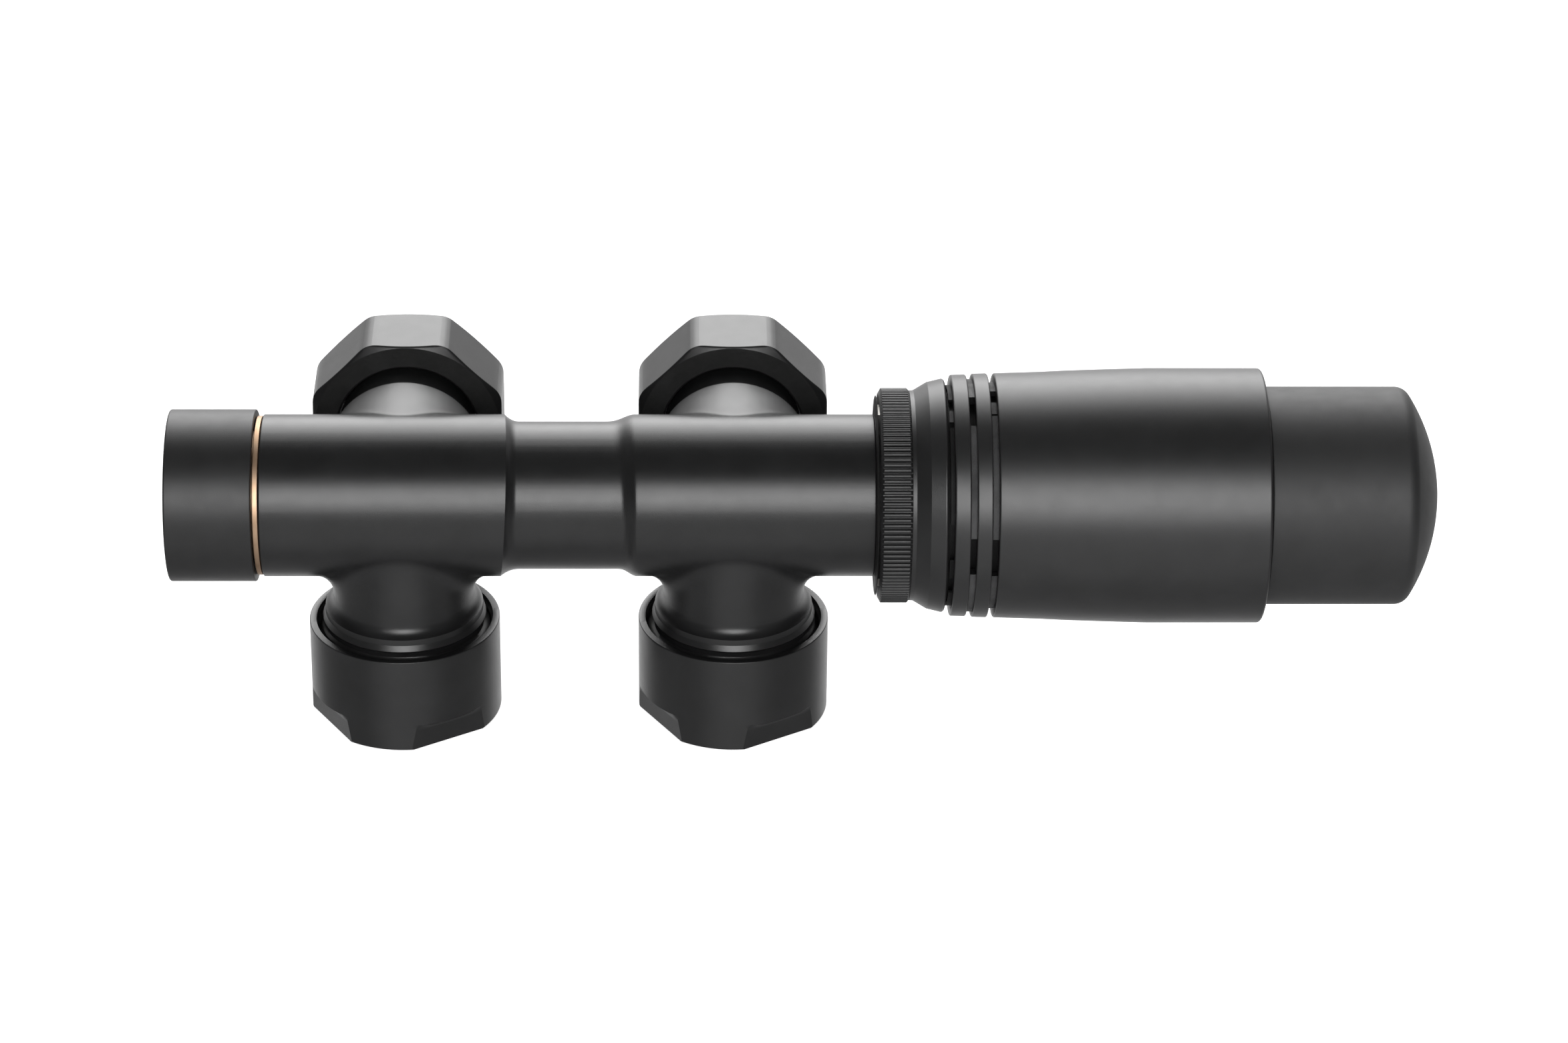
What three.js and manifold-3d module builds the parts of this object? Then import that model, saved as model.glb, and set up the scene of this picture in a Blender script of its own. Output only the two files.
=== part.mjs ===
// Angled twin connection valve for a radiator: a lockshield valve under a screwed cap and a thermostatic
// valve with its head, in one body with two pipe unions (down) and two radiator unions (back).
// Millimetres. +X runs along the body towards the thermostatic head, +Y towards the radiator, +Z up.
// The origin lies midway between the pipe unions, in the plane of their nuts' end faces.
import * as THREE from "three";
import { mergeVertices } from "three/addons/utils/BufferGeometryUtils.js";
import Module from "manifold-3d";

const wasm = await Module();
wasm.setup();

// ---------- driving dimensions ----------
const PORT_X = 25; // half the standard 50 mm distance between pipe centres
const AXIS_Z = 36.2; // height of the body's axis
const GAP = 0.3; // air left between pieces that touch

const BODY_END = { left: -45.5, right: 46 };
const BODY_R = 12.17;
const WAIST_R = 11.09;
const WAIST_X = 6.5; // the waist is straight out to here
const SHOULDER_X = 10.3; // and the body is at its full radius from here
const MAIN_BORE_R = 9;
const SEAT_X = 31; // sealing face of each seat, from the middle
const SEAT_HOLE_R = 5;
const CHAMBER_R = 6.5;

const PIPE_NECK_R = 10.6;
const PIPE_BELL_R = 12.4;
const PIPE_THREAD_R = 12.9;
const PIPE_BORE_R = 6.75;
const PIPE_FACE = 30; // distances along a branch are counted from the body's axis
const CONE_START = 24; // the conical seat runs from here out to PIPE_FACE
const CONE_R = [9, 10.6];
const PIPE_R = 7.7; // clearance for a 15 mm pipe

const RADIATOR_NECK_R = 10.4;
const RADIATOR_SHOULDER_R = 11.6;
const RADIATOR_BORE_R = 7;
const RADIATOR_FACE = 25.2;

const NUT_TOP = 20.8; // round pipe nut
const NUT_R = 14.43;
const NUT_THREAD_R = 13.2;
const FLATS_HEIGHT = 4.3;
const FLATS_ACROSS = 26.5;
const FLATS_TURN = { left: 32.5, right: 30 }; // degrees, from the front towards +X

const OCTAGON = { start: 20.5, end: 31.9, across: 29, cornerR: 15.4, threadR: 12, boreR: 10.8 };

const HEAD_THREAD_R = 14; // mean radius of the M30 x 1.5 thread, drawn smooth
const HEAD_THREAD_CREST_R = 15.05; // its first turn stands clear of the ring nut
const RING = { start: 46.5, end: 51.2, r: 16.15, teeth: 60, toothDepth: 0.35 };
const COLLAR = { start: 51.5, end: 56.5 };
const BASE_TUBE_R = 15.6;
const HANDLE = { start: 57.4, end: 104.1, r: 19.17, boreR: 16.2 };
const CAP_CYLINDER_END = 124;
const HEAD_TIP = 130.8;
const END_CAP_R = 16.4;

const ROUND = 28; // facets round a large turned piece
const SMALL = 18; // and round a small one

const FINISH = {
  coat: { color: 0x1b1b1c, metalness: 0.0, roughness: 0.62 },
  plastic: { color: 0x202022, metalness: 0.0, roughness: 0.5 },
  brass: { color: 0xb98a4a, metalness: 1.0, roughness: 0.35 },
  steel: { color: 0xb9bcc0, metalness: 1.0, roughness: 0.3 },
  aluminium: { color: 0xcfd2d4, metalness: 1.0, roughness: 0.35 },
  rubber: { color: 0x141414, metalness: 0.0, roughness: 0.85 },
  fibre: { color: 0x4f5a56, metalness: 0.0, roughness: 0.8 },
};

// ---------- shape helpers ----------
// A turned shape about +Y from [radius, height] points. It starts and ends on the axis, or closes on itself.
function turned(points, segments = ROUND) {
  const turnsAbout = points.reduce((sum, [r, h], i) => {
    const [nextR, nextH] = points[(i + 1) % points.length];
    return sum + r * nextH - nextR * h;
  }, 0);
  const path = turnsAbout > 0 ? [...points] : [...points].reverse();
  if (path.every(([r]) => r > 0)) path.push(path[0]);
  return new THREE.LatheGeometry(path.map(([r, h]) => new THREE.Vector2(r, h)), segments);
}

// A plain tube or, with an inner radius of 0, a plain round bar.
function tube(outerR, innerR, from, to, segments = ROUND) {
  return turned([[innerR, from], [outerR, from], [outerR, to], [innerR, to]], segments);
}

// Points of a quarter-round or any other arc in a profile, angles in degrees.
function arc(centreR, centreH, radius, fromDeg, toDeg, steps) {
  return Array.from({ length: steps + 1 }, (_, i) => {
    const a = THREE.MathUtils.degToRad(fromDeg + ((toDeg - fromDeg) * i) / steps);
    return [centreR + radius * Math.cos(a), centreH + radius * Math.sin(a)];
  });
}

function block(x, y, z) {
  return new THREE.BoxGeometry(x[1] - x[0], y[1] - y[0], z[1] - z[0]).translate(
    (x[0] + x[1]) / 2,
    (y[0] + y[1]) / 2,
    (z[0] + z[1]) / 2,
  );
}

// Heights along +Y become positions along the body, or distances down a pipe branch or out along a
// radiator branch.
const onBodyAxis = (geometry) => geometry.rotateZ(-Math.PI / 2).translate(0, 0, AXIS_Z);
const onPipeAxis = (geometry, x) => geometry.rotateX(-Math.PI / 2).translate(x, 0, AXIS_Z);
const onRadiatorAxis = (geometry, x) => geometry.translate(x, 0, AXIS_Z);

// The left half mirrors the right one: distances from the middle are turned round for the left.
const mirrored = (points, side) => points.map(([r, x]) => [r, side * x]);

function solid(geometry) {
  const bare = geometry.clone();
  bare.deleteAttribute("normal");
  bare.deleteAttribute("uv");
  const merged = mergeVertices(bare, 1e-3);
  return new wasm.Manifold(
    new wasm.Mesh({
      numProp: 3,
      vertProperties: new Float32Array(merged.attributes.position.array),
      triVerts: new Uint32Array(merged.index.array),
    }),
  );
}

function geometryOf(manifold) {
  const mesh = manifold.getMesh();
  const geometry = new THREE.BufferGeometry();
  geometry.setAttribute("position", new THREE.BufferAttribute(mesh.vertProperties, 3));
  geometry.setIndex(new THREE.BufferAttribute(mesh.triVerts, 1));
  geometry.computeVertexNormals();
  return geometry;
}

const join = (geometries) => geometryOf(geometries.map(solid).reduce((all, next) => all.add(next)));
const cut = (geometry, tools) =>
  geometryOf(tools.map(solid).reduce((left, tool) => left.subtract(tool), solid(geometry)));
const common = (a, b) => geometryOf(solid(a).intersect(solid(b)));

// A coil spring about +Y: a five-sided wire swept along a helix, with closed ends.
function coil(from, to, meanR, wireR, turns) {
  const sides = 5;
  const steps = Math.round(turns * 12);
  const positions = [];
  const index = [];
  const pitchSpan = to - from - 2 * wireR;
  for (let i = 0; i <= steps; i++) {
    const t = (i / steps) * turns * 2 * Math.PI;
    const height = from + wireR + (pitchSpan * i) / steps;
    for (let k = 0; k < sides; k++) {
      const a = (k / sides) * 2 * Math.PI;
      const r = meanR + wireR * Math.cos(a);
      positions.push(r * Math.cos(t), height + wireR * Math.sin(a), r * Math.sin(t));
    }
  }
  for (let i = 0; i < steps; i++) {
    for (let k = 0; k < sides; k++) {
      const next = (k + 1) % sides;
      const here = i * sides;
      const ahead = here + sides;
      index.push(here + k, here + next, ahead + k, ahead + k, here + next, ahead + next);
    }
  }
  const last = steps * sides;
  for (let k = 1; k < sides - 1; k++) {
    index.push(0, k + 1, k);
    index.push(last, last + k, last + k + 1);
  }
  const geometry = new THREE.BufferGeometry();
  geometry.setAttribute("position", new THREE.Float32BufferAttribute(positions, 3));
  geometry.setIndex(index);
  geometry.computeVertexNormals();
  return geometry;
}

const root = new THREE.Group();

function add(name, geometry, finish) {
  const mesh = new THREE.Mesh(geometry, new THREE.MeshStandardMaterial(FINISH[finish]));
  mesh.name = name;
  root.add(mesh);
}

// ---------- the body ----------
function bodyTube() {
  const chamfer = 0.3;
  const steps = 4;
  const shoulder = Array.from({ length: steps + 1 }, (_, i) => {
    const t = i / steps;
    const rise = t * t * (3 - 2 * t);
    return [WAIST_R + (BODY_R - WAIST_R) * rise, WAIST_X + (SHOULDER_X - WAIST_X) * t];
  });
  return turned([
    [0, BODY_END.left],
    [BODY_R - chamfer, BODY_END.left],
    [BODY_R, BODY_END.left + chamfer],
    ...mirrored(shoulder, -1).reverse(),
    ...shoulder,
    [BODY_R, BODY_END.right - chamfer],
    [BODY_R - chamfer, BODY_END.right],
    [0, BODY_END.right],
  ]);
}

function pipeNeck() {
  return turned([
    [0, 4],
    [PIPE_NECK_R, 4],
    [PIPE_NECK_R, 14.2],
    [11, 15.3],
    [11.7, 16.6],
    [12.2, 17.6],
    [PIPE_BELL_R, 18.4],
    [PIPE_BELL_R, 20.4],
    [PIPE_THREAD_R, 21],
    [PIPE_THREAD_R, PIPE_FACE - 0.6],
    [PIPE_THREAD_R - 0.6, PIPE_FACE],
    [0, PIPE_FACE],
  ]);
}

function radiatorNeck() {
  return turned([
    [0, 4],
    [RADIATOR_SHOULDER_R, 4],
    [RADIATOR_SHOULDER_R, 14.4],
    [RADIATOR_SHOULDER_R - 0.3, 15],
    [RADIATOR_NECK_R, 15.5],
    [RADIATOR_NECK_R, RADIATOR_FACE],
    [0, RADIATOR_FACE],
  ]);
}

// Pipe -> chamber -> seat hole -> main bore -> side slot -> radiator branch, on each side.
function waterways(side) {
  const x = side * PORT_X;
  const span = (a, b) => (side > 0 ? [a, b] : [-b, -a]);
  const mainEnd = side > 0 ? BODY_END.right : -BODY_END.left;
  const alongBody = (r, from, to) => onBodyAxis(tube(r, 0, ...span(from, to)));
  return [
    alongBody(MAIN_BORE_R, SEAT_X, mainEnd + 1),
    alongBody(SEAT_HOLE_R, SEAT_X - 3, SEAT_X + 1),
    alongBody(CHAMBER_R, 18, SEAT_X - 2),
    onPipeAxis(tube(4.5, 0, 3, 11, SMALL), side * 23),
    onPipeAxis(
      turned([
        [0, 10],
        [PIPE_BORE_R, 10],
        [PIPE_BORE_R, CONE_START],
        [CONE_R[0], CONE_START],
        [CONE_R[1], PIPE_FACE],
        [CONE_R[1], PIPE_FACE + 1],
        [0, PIPE_FACE + 1],
      ]),
      x,
    ),
    onRadiatorAxis(tube(RADIATOR_BORE_R, 0, 9, RADIATOR_FACE + 1, SMALL), x),
    block(span(26, 36.5), [7.7, 10.3], [AXIS_Z - 4, AXIS_Z + 4]),
    block(span(SEAT_X + 0.2, 36.5), [4, 10.3], [AXIS_Z - 4, AXIS_Z + 4]),
  ];
}

function valveBody() {
  const ports = [-PORT_X, PORT_X];
  const outside = join([
    onBodyAxis(bodyTube()),
    ...ports.map((x) => onPipeAxis(pipeNeck(), x)),
    ...ports.map((x) => onRadiatorAxis(radiatorNeck(), x)),
  ]);
  return cut(outside, [...waterways(-1), ...waterways(1)]);
}

add("valve_body", valveBody(), "coat");

// ---------- lockshield valve under the left cap ----------
const FLANGE = { r: 11.9, from: -46.35, to: -45.75 };
const LOCKSHIELD_NOSE = { r: 10.2, end: -55.5 };
const INSERT_SHANK_R = MAIN_BORE_R - GAP;

function lockshieldInsert() {
  return turned([
    [4.3, LOCKSHIELD_NOSE.end],
    [LOCKSHIELD_NOSE.r - 0.6, LOCKSHIELD_NOSE.end],
    [LOCKSHIELD_NOSE.r, LOCKSHIELD_NOSE.end + 0.6],
    [LOCKSHIELD_NOSE.r, FLANGE.from],
    [FLANGE.r, FLANGE.from],
    [FLANGE.r, FLANGE.to],
    [INSERT_SHANK_R, FLANGE.to],
    [INSERT_SHANK_R, -40.6],
    [7.5, -40.6],
    [7.5, -38.8],
    [INSERT_SHANK_R, -38.8],
    [INSERT_SHANK_R, -37],
    [6.6, -37],
    [6.6, -41],
    [4.3, -41],
  ]);
}

function hexSocket(acrossFlats, from, to) {
  const corner = acrossFlats / Math.sqrt(3);
  return onBodyAxis(tube(corner, 0, from, to, 6));
}

function lockshieldSpindle() {
  const shape = onBodyAxis(
    turned(
      [
        [0, -51.5],
        [3.6, -51.5],
        [4, -51.1],
        [4, -44.6],
        [3, -44.6],
        [3, -43],
        [4, -43],
        [4, -41.4],
        [2.6, -41.4],
        [2.6, -33.4],
        [0, -33.4],
      ],
      SMALL,
    ),
  );
  return cut(shape, [hexSocket(4, -52.5, -48)]);
}

function lockshieldPlug() {
  return turned(
    [
      [0, -30.2],
      [3.9, -30.2],
      [4.4, -30.9],
      [4.4, -32.7],
      [6.2, -32.7],
      [6.2, -36.3],
      [2.9, -36.3],
      [2.9, -33.1],
      [0, -33.1],
    ],
    SMALL,
  );
}

function lockshieldCap() {
  const r = 12.9;
  const boreR = LOCKSHIELD_NOSE.r + GAP;
  return turned([
    [0, -59.6],
    ...arc(r - 0.6, -59, 0.6, -90, 0, 3),
    [r, -46.9],
    [r - 0.3, -46.6],
    [boreR + 0.3, -46.6],
    [boreR, -46.9],
    [boreR, -57.8],
    [0, -57.8],
  ]);
}

add("lockshield_insert", onBodyAxis(lockshieldInsert()), "brass");
add("insert_oring_left", onBodyAxis(tube(8.85, 7.7, -40.4, -39)), "rubber");
add("lockshield_spindle", lockshieldSpindle(), "brass");
add("spindle_oring", onBodyAxis(tube(4.2, 3.1, -44.4, -43.2, SMALL)), "rubber");
add("lockshield_plug", onBodyAxis(lockshieldPlug()), "brass");
add("plug_seal", onBodyAxis(tube(6.2, 4.6, -32.5, -31.3, SMALL)), "rubber");
add("lockshield_cap", onBodyAxis(lockshieldCap()), "coat");
add("cap_gasket", onBodyAxis(tube(10.1, 4.4, -57.6, -55.9, SMALL)), "rubber");

// ---------- thermostatic valve insert ----------
const HEAD_THREAD_END = 48.9;
const INSERT_NOSE = { r: 12, end: 55 };

function thermostaticInsert() {
  return turned([
    [6.6, 37.5],
    [INSERT_SHANK_R, 37.5],
    [INSERT_SHANK_R, 39.2],
    [7.5, 39.2],
    [7.5, 41],
    [INSERT_SHANK_R, 41],
    [INSERT_SHANK_R, 46.2],
    [HEAD_THREAD_CREST_R - 0.3, 46.2],
    [HEAD_THREAD_CREST_R, 46.3],
    [HEAD_THREAD_CREST_R, 46.4],
    [HEAD_THREAD_R, 46.6],
    [HEAD_THREAD_R, HEAD_THREAD_END],
    [INSERT_NOSE.r, HEAD_THREAD_END],
    [INSERT_NOSE.r, INSERT_NOSE.end - 0.4],
    [INSERT_NOSE.r - 0.4, INSERT_NOSE.end],
    [4.4, INSERT_NOSE.end],
    [4.4, 49],
    [2.2, 49],
    [2.2, 45],
    [6.6, 45],
  ]);
}

function valveStem() {
  return turned(
    [
      [0, 33.6],
      [6.2, 33.6],
      [6.2, 35.6],
      [1.9, 35.6],
      [1.9, 50.9],
      [0, 50.9],
    ],
    SMALL,
  );
}

function gland() {
  return turned(
    [
      [2.2, 51],
      [4.1, 51],
      [4.1, 55.3],
      [4.9, 55.3],
      [4.9, 56.3],
      [2.2, 56.3],
    ],
    SMALL,
  );
}

add("thermostatic_insert", onBodyAxis(thermostaticInsert()), "brass");
add("insert_oring_right", onBodyAxis(tube(8.85, 7.7, 39.4, 40.8)), "rubber");
add("valve_stem", onBodyAxis(valveStem()), "steel");
add("seat_disc", onBodyAxis(tube(6.2, 0, 31.3, 33.3, SMALL)), "rubber");
add("stem_pin", onBodyAxis(tube(1.5, 0, 51.2, 58.5, SMALL)), "steel");
add("return_spring", onBodyAxis(coil(35.9, 44.7, 5.2, 0.5, 4.5)), "steel");
add("stem_oring", onBodyAxis(tube(4.1, 2.2, 49.3, 50.7, SMALL)), "rubber");
add("stem_gland", onBodyAxis(gland()), "brass");

// ---------- thermostatic head ----------
function ringNut() {
  const { start, end, r, teeth, toothDepth } = RING;
  const coreR = r - toothDepth - 0.1;
  const teethStart = start + 0.4;
  const teethEnd = end - 0.35;
  const core = onBodyAxis(
    turned([
      [15.25, start],
      [15.4, start],
      [coreR, teethStart],
      [coreR, end - 0.3],
      [coreR - 0.3, end],
      [13.1, end],
      [13.1, end - 0.8],
      [HEAD_THREAD_R + GAP, end - 0.8],
      [HEAD_THREAD_R + GAP, start + 0.7],
    ]),
  );
  const outline = new THREE.Shape(
    Array.from({ length: teeth * 2 }, (_, i) => {
      const a = (i / (teeth * 2)) * 2 * Math.PI;
      const radius = i % 2 ? r - toothDepth : r;
      return new THREE.Vector2(radius * Math.cos(a), radius * Math.sin(a));
    }),
  );
  outline.holes.push(new THREE.Path().absarc(0, 0, 14.8, 0, 2 * Math.PI, true));
  const band = new THREE.ExtrudeGeometry(outline, {
    depth: teethEnd - teethStart,
    bevelEnabled: false,
    curveSegments: 24,
  });
  band.rotateY(Math.PI / 2).translate(teethStart, 0, AXIS_Z);
  return join([core, band]);
}

function headBase() {
  const { start, end } = COLLAR;
  const nose = INSERT_NOSE.r + GAP;
  const tubeBore = 14;
  const tubeEnd = 72;
  return turned([
    [nose, 49.2],
    [13.9, 49.2],
    [13.9, 50.1],
    [12.8, 50.1],
    [12.8, start],
    [15.77, start],
    [15.77, start + 0.2],
    [17.1, 54],
    [17.5, end - 0.2],
    [17.3, end],
    [BASE_TUBE_R, end],
    [BASE_TUBE_R, tubeEnd],
    [tubeBore, tubeEnd],
    [tubeBore, 57.2],
    [5.5, 57.2],
    [5.5, INSERT_NOSE.end + GAP],
    [nose, INSERT_NOSE.end + GAP],
  ]);
}

// Windows through the floor of a groove: two mirrored pairs about a plane at `middle` degrees.
function windows(from, to, middle, half, width) {
  return [0, 180].flatMap((turn) =>
    [-half, half].map((offset) => {
      const chord = 2 * 17 * Math.sin(THREE.MathUtils.degToRad(width / 2));
      const towards = THREE.MathUtils.degToRad(middle + turn + offset);
      return block([from, to], [-20, -15], [-chord / 2, chord / 2]).rotateX(towards).translate(0, 0, AXIS_Z);
    }),
  );
}

function handle() {
  const { start, end, r, boreR } = HANDLE;
  const webR = 12.5;
  const shape = onBodyAxis(
    turned([
      [boreR, start],
      [18, start],
      [18.2, start + 0.2],
      [18.2, 59.6],
      [18, 59.8],
      [17.5, 59.8],
      [17.5, 60.6],
      [18.2, 60.6],
      [18.37, 60.8],
      [18.37, 62.9],
      [18.2, 63.1],
      [17, 63.1],
      [17, 63.9],
      [18.2, 63.9],
      [18.4, 64.1],
      [18.6, 70.9],
      [18.8, 75],
      [19, 81],
      [r, 87],
      [r, end - 0.5],
      [r - 0.5, end],
      [boreR, end],
      [boreR, 76.5],
      [webR, 76.5],
      [webR, 75],
      [boreR, 75],
    ]),
  );
  return cut(shape, [...windows(59.8, 60.6, -6.8, 39, 20.5), ...windows(63.1, 63.9, -10.2, 44.3, 22)]);
}

function endCap() {
  const wall = 1.6;
  const spigotR = HANDLE.boreR - GAP;
  const domeR = 28.6;
  const domeCentre = HEAD_TIP - domeR;
  const rimR = 14.4;
  const dome = (radius, steps) =>
    Array.from({ length: steps + 1 }, (_, i) => {
      const r = rimR - (rimR * i) / steps;
      return [r, domeCentre + Math.sqrt(radius * radius - r * r)];
    });
  const [, rimX] = dome(domeR, 1)[0];
  const rise = (rimX - CAP_CYLINDER_END) * 0.3;
  const corner = arc(rimR, CAP_CYLINDER_END + rise, 2, 20, 70, 2);
  return turned([
    ...dome(domeR - wall, 3).reverse(),
    [spigotR - wall, 122],
    [spigotR - wall, 98],
    [spigotR, 98],
    [spigotR, HANDLE.end + GAP],
    [END_CAP_R, HANDLE.end + GAP],
    [END_CAP_R, CAP_CYLINDER_END],
    ...corner,
    ...dome(domeR, 4),
  ]);
}

function sensorCarrier() {
  return turned([
    [11.3, 66],
    [13.7, 66],
    [13.7, 72.3],
    [15.9, 72.3],
    [15.9, 74.7],
    [12.2, 74.7],
    [12.2, 80],
    [11.3, 80],
  ]);
}

function sensor() {
  return turned([
    [0, 69],
    [10.6, 69],
    [11, 69.4],
    [11, 80.4],
    [13.2, 80.4],
    [13.6, 80.8],
    [13.6, 115],
    [12.6, 116],
    [0, 116],
  ]);
}

function pressureCup() {
  return turned(
    [
      [0, 58.8],
      [4.6, 58.8],
      [4.6, 63.1],
      [0, 63.1],
    ],
    SMALL,
  );
}

add("ring_nut", ringNut(), "coat");
add("head_base", onBodyAxis(headBase()), "plastic");
add("handle", handle(), "plastic");
add("end_cap", onBodyAxis(endCap()), "plastic");
add("handle_snap_ring", onBodyAxis(tube(14.5, 12.4, 76.8, 77.8)), "steel");
add("sensor_carrier", onBodyAxis(sensorCarrier()), "plastic");
add("sensor", onBodyAxis(sensor()), "aluminium");
add("sensor_piston", onBodyAxis(tube(2.5, 0, 63.4, 68.7, SMALL)), "steel");
add("overtravel_spring", onBodyAxis(coil(63.4, 68.7, 3.6, 0.45, 3.5)), "steel");
add("pressure_cup", onBodyAxis(pressureCup()), "plastic");

// ---------- pipe unions ----------
const NUT_END = AXIS_Z; // distance of the nut's end face from the body's axis
const CLAMP_START = PIPE_FACE + 0.8;

function pipeNut(side) {
  const envelope = turned([
    [NUT_THREAD_R + 0.25, NUT_TOP],
    [NUT_R - 0.3, NUT_TOP],
    [NUT_R, NUT_TOP + 0.3],
    [NUT_R, NUT_END - 0.4],
    [NUT_R - 0.4, NUT_END],
    [8.6, NUT_END],
    [8.3, NUT_END - 0.3],
    [8.3, 34.6],
    [11.6, 31.2],
    [NUT_THREAD_R, 31.2],
    [NUT_THREAD_R, NUT_TOP + 0.3],
  ]);
  const flatAt = -FLATS_ACROSS / 2;
  const flats = [0, 90, 180, 270].map((turn) => {
    const cutter = block([-12, 12], [NUT_END - FLATS_HEIGHT, NUT_END + 1], [flatAt - 4, flatAt]);
    return cutter.rotateY(THREE.MathUtils.degToRad(FLATS_TURN[side] + turn));
  });
  return cut(envelope, flats);
}

function coneInsert() {
  return turned([
    [PIPE_R, CONE_START + GAP],
    [CONE_R[0] - GAP, CONE_START + GAP],
    [9.4, 27],
    [8.4, 27],
    [8.4, 28.6],
    [9.9, 28.6],
    [CONE_R[1] - GAP, PIPE_FACE + 0.4],
    [PIPE_R, PIPE_FACE + 0.4],
  ]);
}

// The ring that grips the pipe is split, so that the nut can close it.
function clampRing(x) {
  const ring = onPipeAxis(
    turned([
      [PIPE_R, CLAMP_START],
      [11, CLAMP_START],
      [11, 31.3],
      [8.6, 34],
      [PIPE_R, 34],
    ]),
    x,
  );
  const split = block([x - 0.5, x + 0.5], [5, 13], [AXIS_Z - 35, AXIS_Z - 30]);
  return cut(ring, [split]);
}

// ---------- radiator unions ----------
function octagonalNut() {
  const { start, end, across, cornerR, threadR, boreR } = OCTAGON;
  const prism = tube(across / 2 / Math.cos(Math.PI / 8), 0, start - 1, end + 1, 8).rotateY(Math.PI / 8);
  const envelope = turned([
    [boreR + 0.3, start],
    [14.3, start],
    [cornerR, start + 0.7],
    [cornerR, end - 0.6],
    [14.4, end],
    [threadR + 0.4, end],
    [threadR, end - 0.4],
    [threadR, start + 2],
    [boreR, start + 2],
    [boreR, start + 0.3],
  ]);
  return common(prism, envelope);
}

for (const [side, x] of [["left", -PORT_X], ["right", PORT_X]]) {
  const gasket = tube(11.6, RADIATOR_BORE_R, RADIATOR_FACE + GAP, 27);
  add(`pipe_nut_${side}`, onPipeAxis(pipeNut(side), x), "coat");
  add(`cone_insert_${side}`, onPipeAxis(coneInsert(), x), "brass");
  add(`cone_oring_${side}`, onPipeAxis(tube(9.35, 8.5, 27.2, 28.4), x), "rubber");
  add(`clamp_ring_${side}`, clampRing(x), "brass");
  add(`radiator_nut_${side}`, onRadiatorAxis(octagonalNut(), x), "coat");
  add(`nut_snap_ring_${side}`, onRadiatorAxis(tube(11.7, RADIATOR_NECK_R + 0.1, 22.8, 24), x), "steel");
  add(`radiator_gasket_${side}`, onRadiatorAxis(gasket, x), "fibre");
}

export default root;
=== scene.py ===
"""Looks of a twin radiator valve: lockshield valve on the left, thermostatic head on the right.

Mesh code works in millimetres along each piece's own axis, and Shell.piece() turns the result into metres.
A profile is a list of (radius, distance) or (radius, distance, fillet) corners.
"""
from math import acos, asin, atan2, cos, degrees, hypot, pi, radians, sin, sqrt, tan, tau

import bmesh
import bpy
import numpy as np
from mathutils import Matrix, Vector


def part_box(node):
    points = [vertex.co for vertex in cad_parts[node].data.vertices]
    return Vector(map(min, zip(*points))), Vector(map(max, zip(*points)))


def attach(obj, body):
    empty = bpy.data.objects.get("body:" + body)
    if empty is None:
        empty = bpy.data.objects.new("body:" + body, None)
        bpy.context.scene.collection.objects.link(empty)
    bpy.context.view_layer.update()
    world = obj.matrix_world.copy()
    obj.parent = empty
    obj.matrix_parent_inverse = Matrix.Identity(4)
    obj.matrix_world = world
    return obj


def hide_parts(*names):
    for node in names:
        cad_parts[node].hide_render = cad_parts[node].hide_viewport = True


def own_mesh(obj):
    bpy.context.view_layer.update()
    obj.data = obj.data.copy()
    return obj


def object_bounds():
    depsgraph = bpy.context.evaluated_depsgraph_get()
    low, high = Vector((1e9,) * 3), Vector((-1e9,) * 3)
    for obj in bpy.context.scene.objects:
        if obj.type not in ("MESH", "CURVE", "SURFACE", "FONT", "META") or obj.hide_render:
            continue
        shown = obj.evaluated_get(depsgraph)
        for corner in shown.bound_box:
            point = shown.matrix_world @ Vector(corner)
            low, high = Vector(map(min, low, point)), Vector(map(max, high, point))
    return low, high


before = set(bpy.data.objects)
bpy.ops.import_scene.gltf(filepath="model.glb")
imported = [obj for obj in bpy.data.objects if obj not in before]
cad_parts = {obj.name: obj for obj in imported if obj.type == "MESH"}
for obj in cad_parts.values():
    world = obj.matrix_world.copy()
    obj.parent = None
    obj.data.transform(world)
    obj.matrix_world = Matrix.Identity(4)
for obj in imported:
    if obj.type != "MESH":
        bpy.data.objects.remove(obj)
CAD_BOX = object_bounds()
MM = 0.001


# ---------- sizes taken from the frame ----------
def along(node, axis=0):
    """Where a CAD node starts and ends on one axis, in millimetres."""
    low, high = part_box(node)
    return low[axis] / MM, high[axis] / MM


def radius_of(node):
    low, high = along(node, 2)
    return (high - low) / 2


AXIS_Z = sum(along("lockshield_cap", 2)) / 2
PORT_X = sum(along("pipe_nut_right")) / 2
BODY_LEFT, BODY_RIGHT = along("valve_body")
BODY_R = 12.17
WAIST_R = 11.09
SEAT_BORE_R = 9.0

VIEW_TILT = 29.0  # the photo looks down by this many degrees

COLUMNS = 144
FINE = 192


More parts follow.
